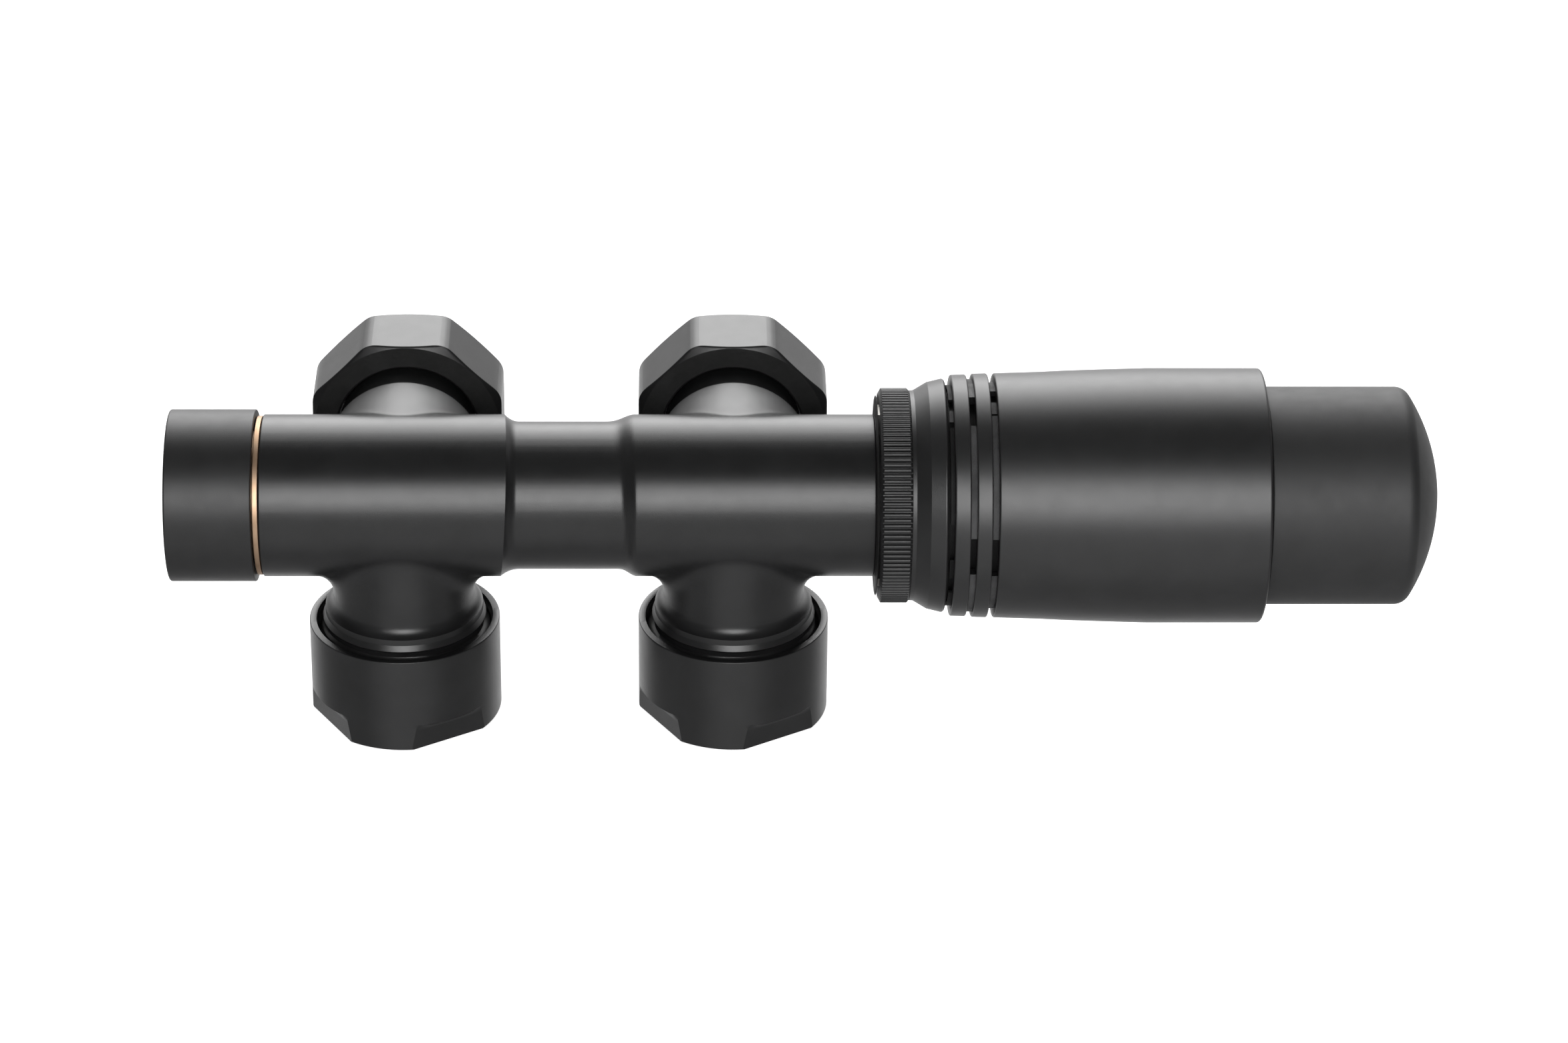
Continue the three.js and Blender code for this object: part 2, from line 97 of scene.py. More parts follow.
# ---------- profiles ----------
def fillet(before, corner, after, radius, steps):
    """The arc that rounds off one corner of a profile."""
    p, a, b = (np.array(v[:2], float) for v in (corner, before, after))
    u, v = a - p, b - p
    lu, lv = np.linalg.norm(u), np.linalg.norm(v)
    u, v = u / lu, v / lv
    half = acos(float(np.clip(u @ v, -1, 1))) / 2
    if pi / 2 - half < 0.02:
        return [p]
    reach = min(radius / tan(half), 0.49 * lu, 0.49 * lv)
    radius = reach * tan(half)
    middle = (u + v) / np.linalg.norm(u + v)
    centre = p + middle * radius / sin(half)
    start, end = p + u * reach - centre, p + v * reach - centre
    a0, a1 = atan2(start[1], start[0]), atan2(end[1], end[0])
    turn = (a1 - a0 + pi) % tau - pi
    angles = a0 + turn * np.linspace(0, 1, steps + 1)
    return [centre + radius * np.array([cos(t), sin(t)]) for t in angles]


def rounded(corners, closed=True, default=0.12, steps=4):
    """A profile with its corners rounded, each by its own fillet or the default. A fillet of 0 is sharp."""
    out = []
    count = len(corners)
    for i, corner in enumerate(corners):
        radius = corner[2] if len(corner) > 2 else default
        at_end = not closed and i in (0, count - 1)
        if at_end or radius == 0:
            out.append(np.array(corner[:2], float))
        else:
            out += fillet(corners[i - 1], corner, corners[(i + 1) % count], radius, steps)
    return np.array(out)


def thread_wave(turns, crest=0.16, root=0.28):
    """Height, 0 to 1, of a thread's section at a position counted in pitches."""
    t = np.abs((turns + 0.5) % 1 - 0.5) * 2
    return np.clip((1 - root - t) / (1 - root - crest), 0, 1)


def smoothstep(low, high, value):
    t = np.clip((value - low) / (high - low), 0, 1)
    return t * t * (3 - 2 * t)


# ---------- where an axis lies ----------
# Angle 0 faces the front on the body and the pipe branches, and faces up on the radiator branches.
def along_body(r, h, a):
    return np.stack([h + 0 * a, -r * np.cos(a), AXIS_Z + r * np.sin(a)], -1)


def down_pipe(x):
    return lambda r, h, a: np.stack([x + r * np.sin(a), -r * np.cos(a), AXIS_Z - h + 0 * a], -1)


def out_radiator(x):
    return lambda r, h, a: np.stack([x - r * np.sin(a), h + 0 * a, AXIS_Z + r * np.cos(a)], -1)


class Shell:
    """Points and faces of one piece, in millimetres."""

    def __init__(self):
        self.points = []
        self.faces = []
        self.count = 0

    def add(self, points, faces):
        self.points.append(np.asarray(points, float).reshape(-1, 3))
        self.faces += [[int(i) + self.count for i in face] for face in faces]
        self.count += len(self.points[-1])

    def grid(self, points, wrap_rows):
        """Faces over points[column, row], with the columns going all the way round."""
        columns, rows = points.shape[:2]
        c, r = np.meshgrid(np.arange(columns), np.arange(rows if wrap_rows else rows - 1), indexing="ij")
        c1, r1 = (c + 1) % columns, (r + 1) % rows
        quads = np.stack([c * rows + r, c1 * rows + r, c1 * rows + r1, c * rows + r1], -1).reshape(-1, 4)
        self.add(points, quads.tolist())

    def lathe(self, place, profile, angles, closed=False):
        """A turned surface. angles is a count, or the column angles themselves."""
        if isinstance(angles, int):
            angles = np.linspace(0, tau, angles, endpoint=False)
        a = np.asarray(angles)[:, None]
        r, h = profile[:, 0][None, :], profile[:, 1][None, :]
        self.grid(place(r + 0 * a, h + 0 * a, a), closed)

    def turned(self, place, corners, angles, closed=False, steps=4):
        """A lathed surface with rounded corners."""
        self.lathe(place, rounded(corners, closed, steps=steps), angles, closed)

    def field(self, place, radius, h, angles):
        """A surface whose radius is a function of angle and distance, over rows at h."""
        a = np.asarray(angles)[:, None]
        rows = np.asarray(h, float)[None, :] + 0 * a
        self.grid(place(radius(a, rows), rows, a), False)

    def mirrored(self):
        """The same shell mirrored in X, with its faces turned round."""
        other = Shell()
        other.add(np.concatenate(self.points) * [-1, 1, 1], [face[::-1] for face in self.faces])
        return other

    def piece(self, name, materials, sharp=35.0, pick=None):
        """A smooth-shaded object from the shell. pick tells a face's material from its centre and normal."""
        mesh = bpy.data.meshes.new(name)
        mesh.from_pydata((np.concatenate(self.points) * MM).tolist(), [], self.faces)
        bm = bmesh.new()
        bm.from_mesh(mesh)
        bmesh.ops.remove_doubles(bm, verts=bm.verts, dist=2e-7)
        bmesh.ops.dissolve_degenerate(bm, edges=bm.edges, dist=1e-8)
        bmesh.ops.recalc_face_normals(bm, faces=bm.faces)
        bm.to_mesh(mesh)
        bm.free()
        materials = materials if isinstance(materials, list) else [materials]
        for material in materials:
            mesh.materials.append(material)
        if pick:
            for polygon in mesh.polygons:
                polygon.material_index = pick(polygon.center / MM, polygon.normal)
        mesh.shade_smooth()
        mesh.set_sharp_from_angle(angle=radians(sharp))
        made = bpy.data.objects.new(name, mesh)
        bpy.context.scene.collection.objects.link(made)
        weighted = made.modifiers.new("weighted_normals", "WEIGHTED_NORMAL")
        weighted.keep_sharp = True
        return made


def finish_piece(made, body, slot, *nodes):
    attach(made, body)
    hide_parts(*nodes)


# ---------- materials ----------
def shader(name, **sockets):
    material = bpy.data.materials.new(name)
    material.use_nodes = True
    surface = material.node_tree.nodes["Principled BSDF"]
    for socket, value in sockets.items():
        surface.inputs[socket.replace("_", " ")].default_value = value
    return material, material.node_tree, surface


def noise(tree, scale, detail, stretch=None):
    """Noise in the object's own coordinates. scale counts cells per metre, stretch multiplies it per axis."""
    coordinates = tree.nodes.new("ShaderNodeTexCoord")
    mapping = tree.nodes.new("ShaderNodeMapping")
    texture = tree.nodes.new("ShaderNodeTexNoise")
    tree.links.new(coordinates.outputs["Object"], mapping.inputs["Vector"])
    tree.links.new(mapping.outputs["Vector"], texture.inputs["Vector"])
    if stretch:
        mapping.inputs["Scale"].default_value = stretch
    texture.inputs["Scale"].default_value = scale
    texture.inputs["Detail"].default_value = detail
    return texture.outputs["Fac"]


def ramp(tree, value, low, high, start=0.35, end=0.65):
    """Maps a texture's middle range onto two colours or two grey levels."""
    node = tree.nodes.new("ShaderNodeValToRGB")
    for element, position, colour in zip(node.color_ramp.elements, (start, end), (low, high)):
        element.position = position
        element.color = colour if isinstance(colour, tuple) else (colour, colour, colour, 1)
    tree.links.new(value, node.inputs["Fac"])
    return node.outputs["Color"]


def bump(tree, surface, *layers):
    """Bump layers of (texture output, height in metres), each on top of the last."""
    normal = None
    for height, distance in layers:
        node = tree.nodes.new("ShaderNodeBump")
        node.inputs["Distance"].default_value = distance
        tree.links.new(height, node.inputs["Height"])
        if normal:
            tree.links.new(normal, node.inputs["Normal"])
        normal = node.outputs["Normal"]
    tree.links.new(normal, surface.inputs["Normal"])


# Cells per metre: colour and gloss patches of a coat, then rings, tarnish and fine wear of turned metal.
BLOTCHES, GLOSS_PATCHES = 160, 420
RINGS, TARNISH, WEAR = 900, 300, 2600
FINER = 3.1


def grained(name, dark, light, gloss, grain, depth, fine_depth, specular=0.5):
    """A surface with blotchy colour, uneven gloss and a two-layer grain."""
    material, tree, surface = shader(name, Metallic=0.0, Specular_IOR_Level=specular)
    tree.links.new(ramp(tree, noise(tree, BLOTCHES, 4), dark, light), surface.inputs["Base Color"])
    tree.links.new(ramp(tree, noise(tree, GLOSS_PATCHES, 3), *gloss), surface.inputs["Roughness"])
    bump(tree, surface, (noise(tree, grain, 2), depth), (noise(tree, grain * FINER, 2), fine_depth))
    return material


def turned_metal(name, dark, light, gloss, stretch, depth=0.000004):
    """Bare metal with the fine rings of turning, drawn out round the given axis."""
    material, tree, surface = shader(name, Metallic=1.0)
    rings = noise(tree, RINGS, 3, stretch)
    tree.links.new(ramp(tree, noise(tree, TARNISH, 4), dark, light), surface.inputs["Base Color"])
    tree.links.new(ramp(tree, rings, *gloss), surface.inputs["Roughness"])
    bump(tree, surface, (rings, depth), (noise(tree, WEAR, 2), depth / 3))
    return material


ALONG_X, ALONG_Z = (6.0, 0.3, 0.3), (0.3, 0.3, 6.0)
COAT_COLOURS = (0.0075, 0.0075, 0.0078, 1), (0.0105, 0.0105, 0.0109, 1)
PLASTIC_COLOURS = (0.0080, 0.0080, 0.0083, 1), (0.0110, 0.0110, 0.0115, 1)
BRASS_COLOURS = (0.43, 0.285, 0.18, 1), (0.56, 0.39, 0.265, 1)
# Grain: cells per metre, then the height in metres of its coarse and fine layer.
COAT_GRAIN = 12000, 0.000011, 0.000003
PLASTIC_GRAIN = 12000, 0.000009, 0.000003

coat = grained("coated_metal", *COAT_COLOURS, (0.275, 0.30), *COAT_GRAIN)
coat_cap = grained("coated_metal_cap", *COAT_COLOURS, (0.41, 0.44), *COAT_GRAIN)
knurled = grained("knurled_metal", *COAT_COLOURS, (0.38, 0.44), 9000, 0.000012, 0.000004)
# A duller, weaker-reflecting coat: the insert thread's own black, and painted shade inside the nuts and on
# the radiator nuts' faces towards the body.
dull_coat_and_shade = grained("dull_coat_and_painted_shade", (0.006, 0.006, 0.006, 1), (0.013, 0.013, 0.013, 1), (0.5, 0.7),
                     1500, 0.00004, 0.00001, specular=0.3)
# Near-black and barely reflecting: painted shade on the head's sleeve, the first groove's floor and the walls
# of the windows.
painted_shade_recess = grained("deep_recess_painted_shade", (0.0035, 0.0035, 0.0036, 1), (0.0065, 0.0065, 0.0067, 1), (0.58, 0.66),
                 6000, 0.00002, 0.000006, specular=0.22)
plastic = grained("head_plastic", *PLASTIC_COLOURS, (0.35, 0.37), *PLASTIC_GRAIN, specular=0.6)
plastic_matt = grained("end_cap_plastic", *PLASTIC_COLOURS, (0.54, 0.57), *PLASTIC_GRAIN, specular=0.62)
# Rough moulded plastic for the groove floors and inner ribs, made lighter partly as painted light against the
# grooves' shade.
rough_plastic_painted_light = grained("head_plastic_rough_painted_light", (0.020, 0.020, 0.0205, 1), (0.052, 0.052, 0.053, 1),
                        (0.5, 0.66), 6000, 0.00006, 0.00002)
brass = turned_metal("brass", *BRASS_COLOURS, (0.40, 0.50), ALONG_X)
brass_upright = turned_metal("brass_upright", *BRASS_COLOURS, (0.22, 0.36), ALONG_Z)
# Bright nickel, used only as painted glints in the thermostatic insert's undercut.
painted_glint_nickel = turned_metal("nickel_painted_glint", (0.72, 0.70, 0.66, 1), (0.84, 0.82, 0.78, 1), (0.30, 0.42), ALONG_X)
steel = turned_metal("steel", (0.46, 0.47, 0.48, 1), (0.62, 0.63, 0.64, 1), (0.22, 0.34), ALONG_X)
aluminium = turned_metal("aluminium", (0.72, 0.73, 0.74, 1), (0.86, 0.87, 0.88, 1), (0.28, 0.42), ALONG_X)
rubber = grained("rubber", (0.010, 0.010, 0.010, 1), (0.018, 0.018, 0.018, 1), (0.62, 0.8),
                 3000, 0.00002, 0.00001)
fibre = grained("fibre", (0.055, 0.075, 0.066, 1), (0.10, 0.125, 0.112, 1), (0.75, 0.9),
                1400, 0.00006, 0.00002)


# ---------- the cast body ----------
# Distances from the body's axis point: x along the body, y to the back, z up. Each field returns the distance
# to a surface and its direction.
NECK_R = 10.66
SHOULDER_R = 11.6
PIPE_FILLET, RADIATOR_FILLET = 3.9, 2.5
CAST = {"inner": 10.7, "outer": 41.5, "down": 16.5, "back": 14.0}


def tube_field(p):
    r = np.hypot(p[:, 1], p[:, 2]) + 1e-9
    return r - BODY_R, np.stack([0 * r, p[:, 1] / r, p[:, 2] / r], -1)


def branch_field(side, out, across, radius):
    """A round branch that starts at the body's axis: exact on its side and round its buried edge."""
    reach = np.maximum(np.hypot(side, across), 1e-9)
    d = reach - radius
    behind = np.maximum(-out, 0)
    outside = np.maximum(d, 0)
    total = np.where(behind > 0, np.hypot(outside, behind), d)
    radial = np.where(behind > 0, outside / np.maximum(total, 1e-9), 1.0)
    axial = np.where(behind > 0, -behind / np.maximum(total, 1e-9), 0.0)
    buried = (behind > 0) & (d <= 0)
    radial, axial = np.where(buried, 0, radial), np.where(buried, -1, axial)
    return total, side / reach * radial, axial, across / reach * radial


def pipe_field(p):
    d, gx, gl, gy = branch_field(p[:, 0] - PORT_X, -p[:, 2], p[:, 1], NECK_R)
    return d, np.stack([gx, gy, -gl], -1)


def radiator_field(p):
    d, gx, gl, gz = branch_field(p[:, 0] - PORT_X, p[:, 1], p[:, 2], SHOULDER_R)
    return d, np.stack([gx, gl, gz], -1)


def blended(first, second, f):
    """The union of two solids with the fillet that a ball of radius f leaves in the corner."""
    (a, ga), (b, gb) = first, second
    c = np.clip((ga * gb).sum(-1), -0.999, 0.999)
    u, v = f - a, f - b
    la = (u - c * v) / (1 - c * c)
    lb = (v - c * u) / (1 - c * c)
    in_corner = (u > 0) & (v > 0) & (la > 0) & (lb > 0)
    ball = la[:, None] * ga + lb[:, None] * gb
    length = np.maximum(np.linalg.norm(ball, axis=-1), 1e-9)
    d = np.where(in_corner, f - length, np.minimum(a, b))
    nearest = np.where((a < b)[:, None], ga, gb)
    return d, np.where(in_corner[:, None], ball / length[:, None], nearest)


def cast_field(p):
    body = blended(tube_field(p), pipe_field(p), PIPE_FILLET)
    return blended(body, radiator_field(p), RADIATOR_FILLET)


def surface_net(field, low, high, step):
    """A quad mesh of a field's zero surface, its points moved onto the surface."""
    ticks = [np.arange(a, b + step, step) for a, b in zip(low, high)]
    shape = tuple(len(t) for t in ticks)
    lattice = np.stack(np.meshgrid(*ticks, indexing="ij"), -1).reshape(-1, 3)
    value = field(lattice)[0].reshape(shape)
    inside = value < 0
    cells = tuple(n - 1 for n in shape)
    total = np.zeros(cells + (3,))
    hits = np.zeros(cells)
    for axis in range(3):
        others = [i for i in range(3) if i != axis]
        for u in (0, 1):
            for v in (0, 1):
                start = [slice(0, n - 1) for n in shape]
                start[others[0]] = slice(u, shape[others[0]] - 1 + u)
                start[others[1]] = slice(v, shape[others[1]] - 1 + v)
                end = list(start)
                end[axis] = slice(1, shape[axis])
                va, vb = value[tuple(start)], value[tuple(end)]
                crosses = inside[tuple(start)] != inside[tuple(end)]
                t = np.where(crosses, va / np.where(crosses, va - vb, 1), 0)
                offset = np.zeros(cells + (3,))
                offset[..., axis] = t
                offset[..., others[0]] = u
                offset[..., others[1]] = v
                total += offset * crosses[..., None]
                hits += crosses
    used = hits > 0
    index = np.full(cells, -1)
    index[used] = np.arange(used.sum())
    corner = np.argwhere(used)
    points = np.array(low) + (corner + total[used] / hits[used][:, None]) * step
    for _ in range(5):
        d, g = field(points)
        points = points - np.clip(d, -step, step)[:, None] * g
    faces = []
    for axis in range(3):
        b, c = (axis + 1) % 3, (axis + 2) % 3
        start = [slice(0, n) for n in shape]
        start[axis], end = slice(0, shape[axis] - 1), [slice(0, n) for n in shape]
        end[axis] = slice(1, shape[axis])
        goes_in = inside[tuple(start)].astype(int) - inside[tuple(end)].astype(int)
        edges = np.argwhere(goes_in != 0)
        at_b, at_c = edges[:, b], edges[:, c]
        edges = edges[(at_b > 0) & (at_b < shape[b] - 1) & (at_c > 0) & (at_c < shape[c] - 1)]
        sign = goes_in[tuple(edges.T)]
        around = []
        for db, dc in ((-1, -1), (0, -1), (0, 0), (-1, 0)):
            cell = edges.copy()
            cell[:, b] += db
            cell[:, c] += dc
            around.append(index[tuple(cell.T)])
        quads = np.stack(around, -1)
        quads[sign < 0] = quads[sign < 0][:, ::-1]
        faces.append(quads)
    return points, np.concatenate(faces)


def cast_part():
    """Half of the casting: the tube round one pair of branches, cut open at four planes."""
    step = 0.5
    low = (CAST["inner"] - 1.1, -BODY_R - 4, -CAST["down"] - 1.1)
    high = (CAST["outer"] + 1.1, CAST["back"] + 1.1, BODY_R + 4)
    points, faces = surface_net(cast_field, low, high, step)
    bm = bmesh.new()
    verts = [bm.verts.new(p) for p in points]
    for face in faces:
        bm.faces.new([verts[i] for i in face])
    cuts = [
        ((CAST["inner"], 0, 0), (-1, 0, 0)),
        ((CAST["outer"], 0, 0), (1, 0, 0)),
        ((0, CAST["back"], 0), (0, 1, 0)),
        ((0, 0, -CAST["down"]), (0, 0, -1)),
    ]
    for point, normal in cuts:
        everything = bm.verts[:] + bm.edges[:] + bm.faces[:]
        bmesh.ops.bisect_plane(bm, geom=everything, dist=1e-4, plane_co=point, plane_no=normal,
                               clear_outer=True)
    bmesh.ops.remove_doubles(bm, verts=bm.verts, dist=0.01)
    loops = {}
    for key, axis, value in (("inner", 0, CAST["inner"]), ("outer", 0, CAST["outer"]),
                             ("back", 1, CAST["back"]), ("down", 2, -CAST["down"])):
        rim = [v for v in bm.verts if v.is_boundary and abs(v.co[axis] - value) < 1e-3]
        angles = []
        for v in rim:
            if key in ("inner", "outer"):
                angle = atan2(v.co.z, -v.co.y)
                v.co.y, v.co.z = -BODY_R * cos(angle), BODY_R * sin(angle)
            elif key == "down":
                angle = atan2(v.co.x - PORT_X, -v.co.y)
                v.co.x, v.co.y = PORT_X + NECK_R * sin(angle), -NECK_R * cos(angle)
            else:
                angle = atan2(PORT_X - v.co.x, v.co.z)
                v.co.x, v.co.z = PORT_X - SHOULDER_R * sin(angle), SHOULDER_R * cos(angle)
            v.co[axis] = value
            angles.append(angle)
        loops[key] = np.sort(np.array(angles))
    bm.verts.index_update()
    shell = Shell()
    shell.add([(v.co.x, v.co.y, v.co.z + AXIS_Z) for v in bm.verts],
              [[v.index for v in face.verts] for face in bm.faces])
    bm.free()
    return shell, loops


PIPE_FACE, PIPE_ROOT, PIPE_CREST, PIPE_PITCH = 30.0, 12.05, 13.0, 1.814
PIPE_THREAD, PIPE_SEAT, PIPE_BORE_R = 21, 24, 6.75
FLARE_RADIUS, FLARE_SWEEP = 1.98, 68.9
RADIATOR_FACE = along("radiator_gasket_left", 1)[0] - 0.3
RADIATOR_NECK_R, RADIATOR_BORE_R = 10.4, 7
LEAD_IN = 0.3


def pipe_neck_end(shell, place, angles):
    """Flare, lip, thread, conical seat and bore of a pipe branch, from where the casting stops."""
    flare = [(NECK_R + FLARE_RADIUS * (1 - cos(t)), CAST["down"] + FLARE_RADIUS * sin(t))
             for t in np.linspace(0, radians(FLARE_SWEEP), 12)]
    lip = rounded([flare[-1], (11.97, 19.25, 0.08), (12.38, 20.1, 0.05), (PIPE_ROOT, 20.5, 0.1),
                   (PIPE_ROOT, PIPE_THREAD, 0)], closed=False)
    shell.lathe(place, np.concatenate([np.array(flare), lip[1:]]), angles)
    start, end = PIPE_THREAD, PIPE_FACE - LEAD_IN
    rows = np.arange(start, end + 0.01, PIPE_PITCH / 10)
    rows[-1] = end

    def radius(a, h):
        depth = smoothstep(start, start + 1, h) * (1 - smoothstep(PIPE_FACE - 0.9, end, h))
        return PIPE_ROOT + (PIPE_CREST - PIPE_ROOT) * depth * thread_wave(h / PIPE_PITCH + a / tau)

    shell.field(place, radius, rows, angles)
    shell.turned(place, [
        (PIPE_ROOT, end, 0), (11.75, PIPE_FACE, 0.1), (10.6, PIPE_FACE, 0.1), (9, PIPE_SEAT, 0.1),
        (PIPE_BORE_R, PIPE_SEAT, 0.1), (PIPE_BORE_R, 12, 0)], angles)


def radiator_neck_end(shell, place, angles):
    shell.turned(place, [
        (SHOULDER_R, CAST["back"], 0), (SHOULDER_R, 14.4, 0.05), (11.3, 15, 0.08),
        (RADIATOR_NECK_R, 15.5, 0.2), (RADIATOR_NECK_R, RADIATOR_FACE, 0.3),
        (RADIATOR_BORE_R, RADIATOR_FACE, 0.3), (RADIATOR_BORE_R, 10.5, 0)], angles)


def body_end(shell, angles, start, end):
    """The tube from the casting out to one end face, and back in along the main bore."""
    side = 1 if end > 0 else -1
    shell.turned(along_body, [
        (BODY_R, start, 0), (BODY_R, end, 0.22), (SEAT_BORE_R + 0.4, end, 0.1),
        (SEAT_BORE_R, end - 0.4 * side, 0.1), (SEAT_BORE_R, end - 13 * side, 0)], angles)


WAIST_LEFT = -7.2


def waist(shell, angles):
    """The slimmer middle of the tube, between shoulders that wander a little round it, as on the forging.

    The left shoulder is a hollow under a crisp edge, the right one a long soft slope."""
    edge, drop = CAST["inner"], BODY_R - WAIST_R
    a = np.asarray(angles)[:, None]
    from_eye = a - radians(VIEW_TILT)
    towards_eye, above = np.cos(from_eye), np.sin(from_eye)
    left_start = np.maximum(-9.8 + 0.87 * towards_eye + 0.3 * above, 0.1 - edge)
    right_start = 6.5 + 1.4 * towards_eye - 0.9 * above
    right_end = 10.15 + 0.25 * towards_eye - 0.15 * above
    t = np.linspace(0, 1, 13)[None, :]
    slope = t ** 2.2 / (t ** 2.2 + (1 - t) ** 1.3)
    hollow = (1 - t) ** 2.2
    distance = [-edge + 0 * a, left_start + (WAIST_LEFT - left_start) * t,
                right_start + (right_end - right_start) * t, edge + 0 * a]
    radius = [BODY_R + 0 * a, WAIST_R + drop * hollow + 0 * a, WAIST_R + drop * slope + 0 * a, BODY_R + 0 * a]
    shell.grid(along_body(np.concatenate(radius, 1), np.concatenate(distance, 1), a), False)


def make_body():
    part, loops = cast_part()
    right = Shell()
    right.add(np.concatenate(part.points), part.faces)
    pipe_neck_end(right, down_pipe(PORT_X), loops["down"])
    radiator_neck_end(right, out_radiator(PORT_X), loops["back"])
    left = right.mirrored()
    body_end(right, loops["outer"], CAST["outer"], BODY_RIGHT)
    body_end(left, loops["outer"], -CAST["outer"], BODY_LEFT)
    waist(right, loops["inner"])
    whole = Shell()
    for shell in (right, left):
        whole.add(np.concatenate(shell.points), shell.faces)
    finish_piece(whole.piece("valve_body_cast", coat, sharp=30), "body", "coated_metal", "valve_body")


make_body()


# ---------- lockshield side ----------
CAP_LEFT, CAP_RIGHT = along("lockshield_cap")
CAP_R = radius_of("lockshield_cap")
INSERT_LEFT = along("lockshield_insert")[0]
INSERT_R, GROOVE_R, CHAMBER_R = 8.7, 7.5, 6.6
FINE_PITCH = 1.5


def groove(start, end):
    """The corners of an O-ring groove in the outside of an insert."""
    return [(INSERT_R, start, 0.1), (GROOVE_R, start, 0.1), (GROOVE_R, end, 0.1), (INSERT_R, end, 0.1)]


def helical(shell, start, end, root, crest, phase=0.0, columns=96):
    """A threaded band between two distances along the body, its thread fading out at both ends."""
    run = 0.7
    h = np.linspace(start, end, int((end - start) / FINE_PITCH * 10) + 1)
    angles = np.linspace(0, tau, columns, endpoint=False)

    def radius(a, rows):
        fade = smoothstep(start, start + run, rows) * (1 - smoothstep(end - run, end, rows))
        return root + (crest - root) * fade * thread_wave(rows / FINE_PITCH + a / tau + phase)

    shell.field(along_body, radius, h, angles)
    return angles


def make_lockshield_insert():
    """Its flange is the bright ring between the cap and the body."""
    shell = Shell()
    start, end, root = -54.6, -46.9, 9.5
    flange_r, flange_left, flange_right = 11.93, CAP_RIGHT + 0.2, BODY_LEFT - 0.13
    angles = helical(shell, start, end, root, 10.2)
    shell.turned(along_body, [
        (root, start, 0), (root, INSERT_LEFT, 0.35), (4.7, INSERT_LEFT, 0.15), (4.3, INSERT_LEFT + 0.4, 0.1),
        (4.3, -41, 0.1), (CHAMBER_R, -41, 0.1), (CHAMBER_R, -37, 0.1), (INSERT_R, -37, 0.1),
        *groove(-38.8, -40.6), (INSERT_R, flange_right, 0.05), (flange_r, flange_right, 0.06),
        (flange_r, flange_left, 0.08), (root, flange_left, 0.05), (root, end, 0)], angles)
    finish_piece(shell.piece("lockshield_insert_turned", brass), "body", "bare_brass", "lockshield_insert")


def make_cap():
    shell = Shell()
    start, end, floor = -56.8, CAP_RIGHT - 0.5, -57.8
    root, inner_r = 11.05, 10.5
    angles = helical(shell, start, end, root, 10.45, phase=0.5, columns=COLUMNS)
    shell.turned(along_body, [
        (0, CAP_LEFT, 0), (6, CAP_LEFT + 0.02, 2), (CAP_R, CAP_LEFT + 0.1, 0.3), (CAP_R, CAP_RIGHT, 0.15),
        (root + 0.35, CAP_RIGHT, 0.1), (root, end, 0)], angles, steps=6)
    shell.turned(along_body, [
        (root, start, 0), (inner_r, start - 0.3, 0.1), (inner_r, floor, 0.2), (0, floor, 0)], angles)
    finish_piece(shell.piece("lockshield_cap_turned", coat_cap), "cap", "coated_metal", "lockshield_cap")


make_lockshield_insert()
make_cap()


# ---------- thermostatic insert and ring nut ----------
RING_LEFT, RING_RIGHT = along("ring_nut")
RING_R = radius_of("ring_nut")
HEAD_CREST, HEAD_ROOT = 15.05, 13.85
THREAD_PHASE = 0.2
TURN_LEFT = BODY_RIGHT + 0.14
UNDERCUT_R = 13.65
TEETH = 120


def make_thermostatic_insert():
    """The M30 thread stands clear of the body as one thin black turn, with an undercut before the nut."""
    shell = Shell()
    start, end = RING_LEFT + 0.5, 48.9
    rows = np.linspace(start, end, 20)
    angles = np.linspace(0, tau, COLUMNS, endpoint=False)

    def radius(a, h):
        fade = smoothstep(start, start + 0.5, h) * (1 - smoothstep(end - 0.5, end, h))
        wave = thread_wave(h / FINE_PITCH + a / tau + THREAD_PHASE)
        return HEAD_ROOT + (HEAD_CREST - HEAD_ROOT) * wave * fade

    shell.field(along_body, radius, rows, angles)
    seat = BODY_RIGHT + 0.01
    shell.turned(along_body, [
        (INSERT_R, seat, 0), (11.9, seat, 0.05), (11.9, TURN_LEFT, 0.05), (14.8, TURN_LEFT, 0.05),
        (HEAD_CREST, TURN_LEFT + 0.06, 0.04), (HEAD_CREST, TURN_LEFT + 0.13, 0.04),
        (14.4, TURN_LEFT + 0.22, 0.08), (13.8, TURN_LEFT + 0.12, 0.04), (UNDERCUT_R, TURN_LEFT + 0.12, 0.04),
        (UNDERCUT_R, start, 0.02), (HEAD_ROOT, start, 0)], angles)
    shell.turned(along_body, [
        (HEAD_ROOT, end, 0), (12, end + 0.05, 0.1), (12, 55, 0.3), (4.4, 55, 0.15), (4.4, 49, 0.1),
        (2.2, 49, 0.1), (2.2, 45, 0.1), (CHAMBER_R, 45, 0.1), (CHAMBER_R, 37.5, 0.1), (INSERT_R, 37.5, 0.1),
        *groove(39.2, 41), (INSERT_R, seat, 0)], angles)

    def pick(centre, normal):
        """Brass inside, black outside, and bright nickel as painted glints in the undercut above and below
        the front.
        """
        r = hypot(centre.y, centre.z - AXIS_Z)
        if not BODY_RIGHT < centre.x < start or r < INSERT_R + 0.1:
            return 0
        angle = degrees(atan2(centre.z - AXIS_Z, -centre.y))
        in_undercut = 13 < r < UNDERCUT_R + 0.05 and centre.x > TURN_LEFT + 0.11
        return 2 if in_undercut and abs(angle - 27) > 64 else 1

    finish_piece(shell.piece("thermostatic_insert_turned", [brass, dull_coat_and_shade, painted_glint_nickel], pick=pick), "body",
                 "bare_brass", "thermostatic_insert")


